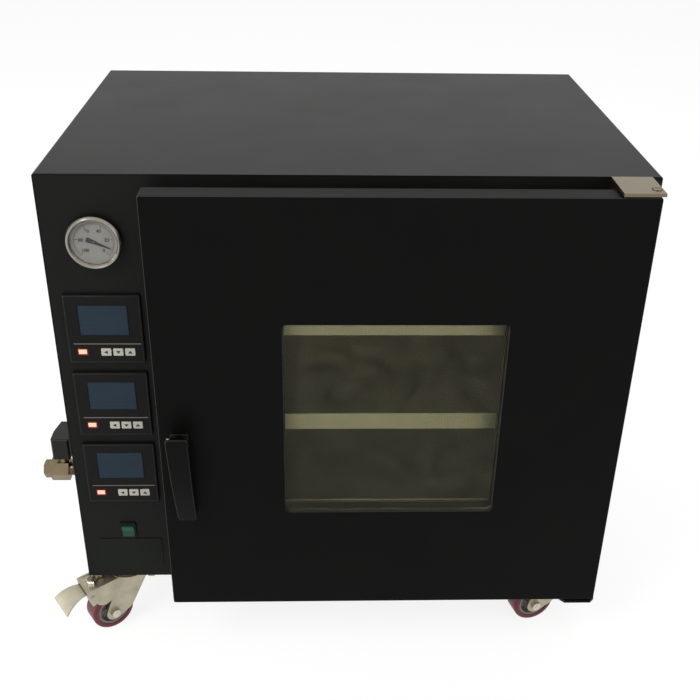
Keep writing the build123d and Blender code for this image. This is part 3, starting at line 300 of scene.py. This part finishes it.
dial_card = moulded_plastic("lacquered_aluminium_dial", "#787674", "#6e6c6a", 0.6, 0.5)
hub_plastic = moulded_plastic("moulded_nylon_hub", "#7b7372", "#6a6463", 0.4, 1.0)
gland_plastic = moulded_plastic("moulded_nylon_gland", "#1b1b1b", "#222222", 0.45, 0.8)
tread_rubber = cast_rubber("cast_polyurethane_tread", "#6b121e", "#520f19", 0.42, 0.9)
window_rubber = cast_rubber("moulded_silicone_window_seal", "#33342f", "#2a2b27", 0.6, 1.2)
bead_rubber = cast_rubber("extruded_epdm_window_bead", "#1b1b19", "#141412", 0.8, 1.2)
silicone = cast_rubber("moulded_silicone_seal", "#c7bfae", "#b5ad9c", 0.6, 1.2)
window_pane = float_glass("tempered_float_glass_window", "#f6f6ef", "#ecece0", 1.12, "#8f8c74", 0.035)
gauge_pane = float_glass("float_glass_gauge", "#fafaf8", "#f6f6f2", 1.2, "#b4b0a8", 0.0)
wool = mineral_wool("bonded_mineral_wool")
screen_face = lcd_screen("smoked_acrylic_display")

node_material = {
    "outer_cover": cabinet_coat, "front_panel": cabinet_coat, "base_pan": cabinet_coat,
    "rear_panel": cabinet_coat, "chamber": chamber_steel, "insulation": wool,
    "chamber_gasket": silicone, "shelf_runners": chamber_steel, "heated_shelves": shelf_metal,
    "shelf_sockets": silicone, "gauge_case": panel_plastic, "gauge_bezel": bezel_steel,
    "gauge_dial": dial_card, "gauge_glass": gauge_pane, "gauge_pointer": print_ink,
    "controller_cases": panel_plastic, "controller_screens": screen_face,
    "controller_lamps": lamp_red, "switch_housing": panel_plastic, "switch_rocker": rocker_green,
    "service_plate": plate_paint, "vacuum_tube": chamber_steel, "valve_body": valve_nickel,
    "valve_lever": lever_vinyl, "latch_keeper": cabinet_coat, "upper_hinge": hinge_nickel,
    "lower_hinge": door_coat, "caster_plates": zinc_plate, "power_gland": gland_plastic,
    "door_shell": door_coat, "door_core": wool, "door_liner": liner_steel,
    "window_glass": window_pane, "window_seal": window_rubber, "inner_glass": window_pane,
    "handle_base": handle_enamel, "door_handle": handle_enamel,
}
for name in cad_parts:
    if name.startswith("key_"):
        node_material[name] = key_plastic
    elif name.startswith(("fork_", "brake_pedal_")):
        node_material[name] = zinc_plate
    elif name.startswith("hub_"):
        node_material[name] = hub_plastic
    elif name.startswith("tyre_"):
        node_material[name] = tread_rubber
for name, material in node_material.items():
    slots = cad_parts[name].data.materials
    slots.clear()
    slots.append(material)


# ---------------------------------------------------------------- mesh tools
def finish_piece(name, bm, material, body, smooth=radians(35)):
    """Turn a built mesh into a piece with its material, riding on a body."""
    bmesh.ops.recalc_face_normals(bm, faces=bm.faces)
    for face in bm.faces:
        face.smooth = True
    mesh = bpy.data.meshes.new(name)
    bm.to_mesh(mesh)
    bm.free()
    mesh.set_sharp_from_angle(angle=smooth)
    mesh.materials.append(material)
    piece = bpy.data.objects.new(name, mesh)
    bpy.context.scene.collection.objects.link(piece)
    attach(piece, body)
    return piece


def facing(direction, up=UP):
    """A turn that takes local z to a direction and keeps local y as near to up as it can."""
    z = direction.normalized()
    if abs(z.dot(up)) > 0.99:
        up = BACK
    x = up.cross(z).normalized()
    y = z.cross(x)
    return Matrix((x, y, z)).transposed().to_4x4()


def add_turned(bm, outline, place, direction, steps=24):
    """Add a turned solid: an outline of radius and height in millimetres, round a direction."""
    turn = Matrix.Translation(place) @ facing(direction)
    rings = []
    for radius, height in outline:
        if radius == 0:
            rings.append([bm.verts.new(turn @ Vector((0, 0, height * MM)))])
        else:
            ring = []
            for i in range(steps):
                angle = 2 * pi * i / steps
                point = Vector((radius * cos(angle), radius * sin(angle), height)) * MM
                ring.append(bm.verts.new(turn @ point))
            rings.append(ring)
    for low, high in zip(rings, rings[1:]):
        for i in range(steps):
            a = low[i % len(low)]
            b = low[(i + 1) % len(low)]
            c = high[(i + 1) % len(high)]
            d = high[i % len(high)]
            corners = [v for n, v in enumerate((a, b, c, d)) if v not in (a, b, c, d)[:n]]
            if len(corners) > 2:
                bm.faces.new(corners)
    for ring in (rings[0], rings[-1]):
        if len(ring) > 2:
            bm.faces.new(ring)


def add_plate(bm, corners, thickness, place, direction, up=UP):
    """Add a flat plate: corners in millimetres on a plane at a place, raised along its direction."""
    turn = Matrix.Translation(place) @ facing(direction, up)
    low = [bm.verts.new(turn @ (Vector((x, y, 0)) * MM)) for x, y in corners]
    high = [bm.verts.new(turn @ (Vector((x, y, thickness)) * MM)) for x, y in corners]
    bm.faces.new(low)
    bm.faces.new(high)
    for i in range(len(corners)):
        j = (i + 1) % len(corners)
        bm.faces.new((low[i], low[j], high[j], high[i]))


def add_frame(bm, half_w, half_h, band, rise, place, direction):
    """Add a four-sided frame with a crowned face: half sizes, width of its band and height in millimetres."""
    turn = Matrix.Translation(place) @ facing(direction)
    rings = []
    for inset, height in ((0, -0.05), (band * 0.2, rise * 0.8), (band * 0.5, rise), (band * 0.8, rise * 0.8),
                          (band, -0.05)):
        w = half_w - inset
        h = half_h - inset
        rings.append([bm.verts.new(turn @ (Vector((x, y, height)) * MM))
                      for x, y in ((-w, -h), (w, -h), (w, h), (-w, h))])
    for first, second in zip(rings, rings[1:] + rings[:1]):
        for i in range(4):
            j = (i + 1) % 4
            bm.faces.new((first[i], first[j], second[j], second[i]))


def soften(bm, width, segments=2):
    """Round every edge of a mesh, by millimetres."""
    bmesh.ops.bevel(bm, geom=bm.edges[:], offset=width * MM, segments=segments, affect="EDGES",
                    clamp_overlap=True)


def screw_mesh(radius, height):
    """A pan-head screw with a cross recess, standing on the origin and facing up."""
    head = bmesh.new()
    dome = [(radius, -0.2), (radius, height * 0.35), (radius * 0.86, height * 0.75),
            (radius * 0.6, height), (0, height * 1.08)]
    add_turned(head, dome, Vector(), UP, 20)
    bmesh.ops.recalc_face_normals(head, faces=head.faces)
    mesh = bpy.data.meshes.new("screw_head")
    head.to_mesh(mesh)
    head.free()
    cutter = bmesh.new()
    arm = radius * 0.62
    half = radius * 0.13
    cross = [(arm, half), (half, half), (half, arm), (-half, arm), (-half, half), (-arm, half),
             (-arm, -half), (-half, -half), (-half, -arm), (half, -arm), (half, -half), (arm, -half)]
    add_plate(cutter, cross, height * 2, Vector((0, 0, height * 0.45)) * MM, UP)
    bmesh.ops.recalc_face_normals(cutter, faces=cutter.faces)
    cross_mesh = bpy.data.meshes.new("screw_cross")
    cutter.to_mesh(cross_mesh)
    cutter.free()
    holder = bpy.data.objects.new("screw_head", mesh)
    tool = bpy.data.objects.new("screw_cross", cross_mesh)
    for made in (holder, tool):
        bpy.context.scene.collection.objects.link(made)
    cut = holder.modifiers.new("recess", "BOOLEAN")
    cut.object = tool
    cut.solver = "EXACT"
    bpy.context.view_layer.update()
    shaped = bpy.data.meshes.new_from_object(holder.evaluated_get(bpy.context.evaluated_depsgraph_get()))
    for made in (holder, tool):
        bpy.data.objects.remove(made)
    return shaped


def place_screws(name, shape, places, body, material):
    """Join copies of a screw, each at a place and facing a direction, into one piece."""
    bm = bmesh.new()
    for number, (place, direction) in enumerate(places):
        start = len(bm.verts)
        bm.from_mesh(shape)
        bm.verts.ensure_lookup_table()
        # Each screw stops at its own angle
        turn = Matrix.Translation(place) @ facing(direction) @ Matrix.Rotation(0.7 * number + 0.3, 4, "Z")
        bmesh.ops.transform(bm, matrix=turn, verts=bm.verts[start:])
    return finish_piece(name, bm, material, body)


# ---------------------------------------------------------------- gauge dial
bezel_low, bezel_high = span("gauge_bezel")
gauge_x = (bezel_low.x + bezel_high.x) / 2
gauge_z = (bezel_low.z + bezel_high.z) / 2
CARD_THICKNESS = 1.0
dial_face = span("gauge_dial")[1].y - CARD_THICKNESS
ZERO_ANGLE = -45
SWEEP = 270
INK = 0.12                   # height of the print, drawn thicker than real so that it shows
SCALE_RADIUS = 24.0
SCALE_LINE = 0.4
FIGURE_RADIUS = 15.6


def dial_point(radius, degrees):
    """A point of the dial, in millimetres across and up from its middle."""
    return radius * cos(radians(degrees)), radius * sin(radians(degrees))


dial_place = at(gauge_x, dial_face, gauge_z)
bm = bmesh.new()
DIVISIONS = 50
for step in range(DIVISIONS + 1):
    degrees = ZERO_ANGLE + SWEEP * step / DIVISIONS
    inner = 19.6 if step % 10 == 0 else 21.0 if step % 5 == 0 else 22.0
    half = 0.38 if step % 10 == 0 else 0.16
    across = Vector(dial_point(1, degrees + 90)) * half
    ends = [Vector(dial_point(r, degrees)) for r in (inner, SCALE_RADIUS)]
    add_plate(bm, [ends[0] - across, ends[1] - across, ends[1] + across, ends[0] + across],
              INK, dial_place, FRONT)
ARC_STEPS = 54
for step in range(ARC_STEPS):
    first = ZERO_ANGLE + SWEEP * step / ARC_STEPS
    last = ZERO_ANGLE + SWEEP * (step + 1) / ARC_STEPS
    outer = SCALE_RADIUS + SCALE_LINE
    add_plate(bm, [dial_point(SCALE_RADIUS, first), dial_point(outer, first), dial_point(outer, last),
                   dial_point(SCALE_RADIUS, last)], INK, dial_place, FRONT)
finish_piece("dial_scale", bm, print_ink, "cabinet")

for step, figure in enumerate(("0", "20", "40", "60", "80", "100")):
    text = bpy.data.curves.new("dial_figure", "FONT")
    text.body = figure
    text.size = 6.2 * MM
    text.offset = 0.2 * MM
    text.extrude = 0.05 * MM
    text.align_x = "CENTER"
    text.align_y = "CENTER"
    text.materials.append(print_ink)
    number = bpy.data.objects.new(f"dial_figure_{figure}", text)
    bpy.context.scene.collection.objects.link(number)
    x, z = dial_point(FIGURE_RADIUS, ZERO_ANGLE + SWEEP * step / 5)
    figure_place = at(gauge_x + x, dial_face - INK / 2, gauge_z + z)
    number.matrix_world = Matrix.Translation(figure_place) @ facing(FRONT)
    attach(number, "cabinet")

pointer_low, pointer_high = span("gauge_pointer")
bm = bmesh.new()
cap_place = at(gauge_x, pointer_low.y, gauge_z)
add_turned(bm, [(2.3, -0.9), (2.3, -0.35), (1.8, 0.0), (0, 0.05)], cap_place + BACK * 0.8 * MM, FRONT)
finish_piece("pointer_cap", bm, print_ink, "gauge_hand")

# The painted blade of the hand: a broad tail that balances a long taper
REST_ANGLE = -24
BLADE_LIFT = 0.58            # from the back of the 0.6 mm hand to the back of the blade on its face
blade = [(-9.5, -3.0), (-5.5, -3.2), (0, -2.2), (21.0, -0.8),
         (21.0, 0.8), (0, 2.2), (-5.5, 3.2), (-9.5, 3.0)]
turned = [(x * cos(radians(REST_ANGLE)) - y * sin(radians(REST_ANGLE)),
           x * sin(radians(REST_ANGLE)) + y * cos(radians(REST_ANGLE))) for x, y in blade]
bm = bmesh.new()
add_plate(bm, turned, 0.15, at(gauge_x, pointer_high.y - BLADE_LIFT, gauge_z), FRONT)
finish_piece("pointer_blade", bm, print_ink, "gauge_hand")

# ---------------------------------------------------------------- controllers
case_low, case_high = span("controller_cases")
lamp_low, lamp_high = span("controller_lamps")
case_face = case_low.y
column_x = (case_low.x + case_high.x) / 2
lamp_x = (lamp_low.x + lamp_high.x) / 2
TRIM_RISE = 11.6             # the trim line over the keys' middle
CASE_RISE = 31.5             # the case's middle over the keys' middle
SCREEN_RISE = 13.0           # the display's middle over the case's middle
LAMP_RISE = 0.3              # the lamp core's middle over the keys' middle
ARROWS = {"left": [(-3.0, 0), (1.8, 2.6), (1.8, -2.6)],
          "middle": [(-2.9, 1.9), (2.9, 1.9), (0, -2.4)],
          "right": [(-2.9, -1.9), (0, 2.4), (2.9, -1.9)]}
for row in (1, 2, 3):
    key_low, key_high = span(f"key_{row}_left")
    key_z = (key_low.z + key_high.z) / 2
    bm = bmesh.new()
    add_plate(bm, [(-40.5, -0.7), (44, -0.7), (44, 0.7), (-40.5, 0.7)], 0.35,
              at(column_x, case_face, key_z + TRIM_RISE), FRONT)
    soften(bm, 0.12)
    finish_piece(f"controller_trim_{row}", bm, trim_metal, "cabinet")

    case_z = key_z + CASE_RISE
    bm = bmesh.new()
    add_frame(bm, 31.6, 22.1, 1.5, 0.5, at(column_x, case_face, case_z + SCREEN_RISE), FRONT)
    finish_piece(f"screen_frame_{row}", bm, panel_plastic, "cabinet")

    # A polished bead runs round the front edge of the case
    bm = bmesh.new()
    add_frame(bm, 46.6, 46.6, 1.0, 0.3, at(column_x, case_face, case_z), FRONT)
    finish_piece(f"case_bead_{row}", bm, gloss_plastic, "cabinet", radians(80))

    bm = bmesh.new()
    add_plate(bm, [(-5.1, -3.2), (5.1, -3.2), (5.1, 3.2), (-5.1, 3.2)], 0.5,
              at(lamp_x, lamp_low.y + 0.1, key_z + LAMP_RISE), FRONT)
    soften(bm, 0.45, 3)
    finish_piece(f"lamp_core_{row}", bm, lamp_core, "cabinet")

    for name, outline in ARROWS.items():
        key = f"key_{row}_{name}"
        low, high = span(key)
        bm = bmesh.new()
        add_plate(bm, outline, 0.1, at((low.x + high.x) / 2, low.y, (low.z + high.z) / 2), FRONT)
        finish_piece(f"key_arrow_{row}_{name}", bm, print_ink, key)

# ---------------------------------------------------------------- service plate
plate_low, plate_high = span("service_plate")
LINE_INSET = 1.2             # from the plate's upper and lower edges
half = (plate_high.x - plate_low.x) / 2 - 2.5
for name, z in (("upper", plate_high.z - LINE_INSET), ("lower", plate_low.z + LINE_INSET)):
    bm = bmesh.new()
    add_plate(bm, [(-half, -0.45), (half, -0.45), (half, 0.45), (-half, 0.45)], 0.12,
              at(column_x, plate_low.y, z), FRONT)
    finish_piece(f"service_plate_line_{name}", bm, line_paint, "cabinet")

# ---------------------------------------------------------------- screws
small_screw = screw_mesh(2.6, 1.8)
panel_screw = screw_mesh(3.6, 2.2)
width, depth, height = span("outer_cover")[1]
PANEL_INSET = 14             # from the edges of the rear panel and of the door liner to their screws
PANEL_RISE = 16              # from the cabinet's underside and top to the rear panel's outer screws
COVER_RISE = 12              # from the cabinet's underside to the cover's screws
COVER_INSET = 60             # from the cabinet's front and rear to the cover's outer screws
rear_screws = [(at(x, depth, z), BACK) for x in (PANEL_INSET, width / 2, width - PANEL_INSET)
               for z in (PANEL_RISE, height - PANEL_RISE)]
rear_screws += [(at(x, depth, z), BACK) for x in (PANEL_INSET, width - PANEL_INSET)
                for z in (height / 3, 2 * height / 3)]
place_screws("rear_panel_screws", panel_screw, rear_screws, "cabinet", screw_zinc)
side_screws = [(at(x, y, COVER_RISE), direction) for x, direction in ((0, LEFT), (width, -LEFT))
               for y in (COVER_INSET, depth / 2, depth - COVER_INSET)]
place_screws("cover_screws", panel_screw, side_screws, "cabinet", screw_zinc)

LEAF_FACE = -4               # front of the 4 mm leaves that are screwed to the front panel
LEAF_SCREWS = (10, 26)       # from the leaf's free end
LEAF_INSET = 12              # from the leaf's sides
low, high = span("upper_hinge")
leaf_screws = [(at(x, LEAF_FACE, low.z + z), FRONT)
               for x in (low.x + LEAF_INSET, high.x - LEAF_INSET) for z in LEAF_SCREWS]
low, high = span("lower_hinge")
leaf_screws += [(at(x, LEAF_FACE, high.z - z), FRONT)
                for x in (low.x + LEAF_INSET, high.x - LEAF_INSET) for z in LEAF_SCREWS]
low, high = span("latch_keeper")
leaf_screws += [(at(low.x + 6, LEAF_FACE, z), FRONT) for z in (low.z + 7, high.z - 7)]
place_screws("bracket_screws", small_screw, leaf_screws, "cabinet", screw_zinc)

liner_low, liner_high = span("door_liner")
liner_middle = (liner_low + liner_high) / 2
liner_ends = (liner_low.z + PANEL_INSET, liner_high.z - PANEL_INSET)
liner_sides = (liner_low.x + PANEL_INSET, liner_high.x - PANEL_INSET)
liner_screws = [(at(x, liner_high.y, z), BACK) for x in liner_sides
                for z in (liner_ends[0], liner_middle.z, liner_ends[1])]
liner_screws += [(at(liner_middle.x, liner_high.y, z), BACK) for z in liner_ends]
place_screws("door_liner_screws", small_screw, liner_screws, "door", screw_zinc)

# A polished grub screw in the top of the door handle locks it to its shaft
handle_low, handle_high = span("door_handle")
GRUB_INSET = 4.5             # from the handle's left and front
bm = bmesh.new()
add_turned(bm, [(2.4, -0.4), (2.4, 0.3), (2.0, 0.6), (1.1, 0.6), (1.1, -0.4)],
           at(handle_low.x + GRUB_INSET, handle_low.y + GRUB_INSET, handle_high.z), UP, 20)
finish_piece("handle_grub_screw", bm, screw_zinc, "handle")

# ---------------------------------------------------------------- window beads
# Black rubber beads line the cut edges of the window, in the door's skin and in its liner
glass_low, glass_high = span("window_glass")
pane_middle = (glass_low + glass_high) / 2
HIDDEN_GLASS = 10.0          # width of the pane that the door's skin laps on each side
half_w = (glass_high.x - glass_low.x) / 2 - HIDDEN_GLASS
half_h = (glass_high.z - glass_low.z) / 2 - HIDDEN_GLASS
for name, y in (("outer", glass_low.y), ("inner", liner_high.y)):
    bm = bmesh.new()
    add_frame(bm, half_w, half_h, 1.6, 1.4, at(pane_middle.x, y, pane_middle.z), FRONT)
    finish_piece(f"window_bead_{name}", bm, bead_rubber, "door")

# ---------------------------------------------------------------- valve
body_low, body_high = span("valve_body")
port_y = (body_low.y + body_high.y) / 2
PORT_HEIGHT = 97.0           # of the valve's bore over the cabinet's underside
RIM_DEPTH = 1.6
THREAD_PITCH = 1.8
THREAD_TURNS = 19
THREAD_START = -7.2          # outside the lock nut
# Pipe thread on the neck between the lock nut and the body
bm = bmesh.new()
outline = []
for i in range(THREAD_TURNS):
    outline += [(9.6, i * THREAD_PITCH), (10.6, (i + 0.5) * THREAD_PITCH)]
add_turned(bm, outline, at(THREAD_START, port_y, PORT_HEIGHT), LEFT, 32)
finish_piece("valve_thread", bm, valve_nickel, "cabinet", radians(25))

bm = bmesh.new()
add_turned(bm, [(11.4, 0), (11.4, 1.2), (10.4, RIM_DEPTH), (6.2, RIM_DEPTH), (6.2, 0)],
           at(body_low.x + RIM_DEPTH, port_y, PORT_HEIGHT), LEFT, 32)
finish_piece("port_rim", bm, valve_nickel, "cabinet")

# ---------------------------------------------------------------- casters
SWIVELS = {"front_left": (50, 35), "front_right": (690, 35),
           "rear_left": (50, 465), "rear_right": (690, 465)}
RIBS = 6
RIB_BASE = 5.0               # from the wheel's middle plane to the web that the ribs stand on
CAP_REACH = 24.5             # from the wheel's middle plane to the caps on the axle
NUT_REACH = 58.0             # from the swivel's axis to the nut over the pedal
NUT_DROP = 9.0               # from the cabinet's underside to that nut's top
for place, (swivel_x, swivel_y) in SWIVELS.items():
    tyre_low, tyre_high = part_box(f"tyre_{place}")
    middle = (tyre_low + tyre_high) / 2
    swivel = at(swivel_x, swivel_y, 0)
    trail = Vector((middle.x - swivel.x, middle.y - swivel.y, 0)).normalized()
    axle = UP.cross(trail)
    # A ring moulded into each face of the hub, and short ribs between it and the boss
    bm = bmesh.new()
    for side in (1, -1):
        face = middle + axle * side * RIB_BASE * MM
        add_turned(bm, [(22.0, -0.2), (22.0, 2.2), (20.2, 2.4), (20.2, -0.2)], face, axle * side, 40)
        add_turned(bm, [(14.4, -0.2), (14.4, 1.2), (13.0, 1.2), (13.0, -0.2)], face, axle * side, 32)
        for rib in range(RIBS):
            angle = 2 * pi * rib / RIBS
            x, y = cos(angle), sin(angle)
            ends = [(x * r - y * w, y * r + x * w)
                    for r, w in ((7.6, -0.9), (20.6, -0.9), (20.6, 0.9), (7.6, 0.9))]
            add_plate(bm, ends, 1.0, face, axle * side)
    finish_piece(f"hub_ribs_{place}", bm, hub_plastic, f"wheel_{place}")

    # The mould leaves a fine parting line round the middle of the tread. Its flat ends, inside the tread, go.
    bm = bmesh.new()
    add_turned(bm, [(31.4, -0.5), (31.75, -0.12), (31.75, 0.12), (31.4, 0.5)], middle, axle, 64)
    for face in [f for f in bm.faces if len(f.verts) > 4]:
        bm.faces.remove(face)
    finish_piece(f"tread_line_{place}", bm, tread_rubber, f"wheel_{place}")

    # Bright nuts cap the axle's ends
    bm = bmesh.new()
    for side in (1, -1):
        add_turned(bm, [(6.4, -0.4), (6.4, -0.1), (5.4, 0.4), (3.2, 0.5), (3.2, 1.0), (2.4, 1.3), (0, 1.4)],
                   middle + axle * side * CAP_REACH * MM, axle * side, 24)
    if f"brake_pedal_{place}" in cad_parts:
        # A large locknut on the plate over the pedal, its top chamfered
        add_turned(bm, [(9.0, -4.4), (9.0, -0.6), (7.8, 0.3), (0, 0.3)],
                   swivel + trail * NUT_REACH * MM - UP * NUT_DROP * MM, UP, 6)
    finish_piece(f"fork_caps_{place}", bm, bright_zinc, f"caster_{place}")

# ---------------------------------------------------------------- studio
def seen_straight(tree):
    """A mask of camera, glossy and transmission rays, which all see the same white."""
    path = add_node(tree, "LightPath")
    direct = add_node(tree, "Math", {"operation": "MAXIMUM"},
                      {0: path.outputs["Is Camera Ray"], 1: path.outputs["Is Glossy Ray"]})
    return add_node(tree, "Math", {"operation": "MAXIMUM"},
                    {0: direct.outputs["Value"], 1: path.outputs["Is Transmission Ray"]}).outputs["Value"]


floor_mesh = bpy.data.meshes.new("floor")
floor_mesh.from_pydata([(-15, -12, 0), (15, -12, 0), (15, 25, 0), (-15, 25, 0)], [], [(0, 1, 2, 3)])
floor = bpy.data.objects.new("floor", floor_mesh)
bpy.context.scene.collection.objects.link(floor)
material, tree, output, place = start_material("painted_studio_floor")
# White studio paint, seen as plain white and still taking the object's shadow
speck = add_node(tree, "TexNoise", {"Scale": 60.0, "Detail": 2}, {"Vector": place})
paint = add_node(tree, "Mix", {"data_type": "RGBA", 6: linear("#f2f2f2"), 7: linear("#f6f6f5")},
                 {0: speck.outputs["Fac"]})
matt = add_node(tree, "BsdfDiffuse", None, {"Color": paint.outputs[2]})
glow = add_node(tree, "Emission", {"Color": linear("#ffffff"), "Strength": 1.06})
seen = add_node(tree, "Math", {"operation": "MULTIPLY", 1: 0.8}, {0: seen_straight(tree)})
surface = add_node(tree, "MixShader", None,
                   {0: seen.outputs["Value"], 1: matt.outputs["BSDF"], 2: glow.outputs["Emission"]})
tree.links.new(surface.outputs["Shader"], output.inputs["Surface"])
floor_mesh.materials.append(material)

world = bpy.data.worlds.new("studio")
bpy.context.scene.world = world
world.use_nodes = True
tree = world.node_tree
tree.nodes.clear()
output = add_node(tree, "OutputWorld")
soft = add_node(tree, "Background", {"Color": linear("#ffffff"), "Strength": 0.55})
white = add_node(tree, "Background", {"Color": linear("#ffffff"), "Strength": 1.0})
back = add_node(tree, "MixShader", None,
                {0: seen_straight(tree), 1: soft.outputs["Background"], 2: white.outputs["Background"]})
tree.links.new(back.outputs["Shader"], output.inputs["Surface"])


def soft_box(name, place, target, width, height, power):
    """A rectangular studio lamp that looks at a point."""
    lamp = bpy.data.lights.new(name, "AREA")
    lamp.shape = "RECTANGLE"
    lamp.size = width
    lamp.size_y = height
    lamp.energy = power
    holder = bpy.data.objects.new(name, lamp)
    bpy.context.scene.collection.objects.link(holder)
    holder.matrix_world = Matrix.Translation(place) @ facing(place - target)


middle = at(width / 2, depth / 2, height / 2)
soft_box("key_box", middle + Vector((-1.9, -2.0, 2.4)), middle, 1.6, 1.6, 70)
soft_box("fill_box", middle + Vector((2.4, -2.6, 1.2)), middle, 2.0, 1.6, 26)
soft_box("left_box", middle + Vector((-2.8, -0.7, 0.2)), middle, 0.8, 1.8, 24)
soft_box("top_box", middle + Vector((0.3, 1.2, 2.8)), middle, 2.4, 1.4, 40)

# ---------------------------------------------------------------- camera
# The lens stands in front of the cabinet, above it and looks down, turned slightly right and rolled
yaw = radians(2.122)
pitch = radians(28.981)
roll = radians(1.018)
ahead = Vector((sin(yaw) * cos(pitch), cos(yaw) * cos(pitch), -sin(pitch)))
level = Vector((cos(yaw), -sin(yaw), 0))
rise = level.cross(ahead)
across = level * cos(roll) + rise * sin(roll)
upward = rise * cos(roll) - level * sin(roll)
lens = bpy.data.cameras.new("camera")
lens.sensor_width = 36.0
lens.lens = 51.12
camera = bpy.data.objects.new("camera", lens)
bpy.context.scene.collection.objects.link(camera)
lens_place = at(331.9, -1114.7, 992.2)
camera.matrix_world = Matrix.Translation(lens_place) @ Matrix((across, upward, -ahead)).transposed().to_4x4()
bpy.context.scene.camera = camera
bpy.context.scene.view_settings.view_transform = "Standard"
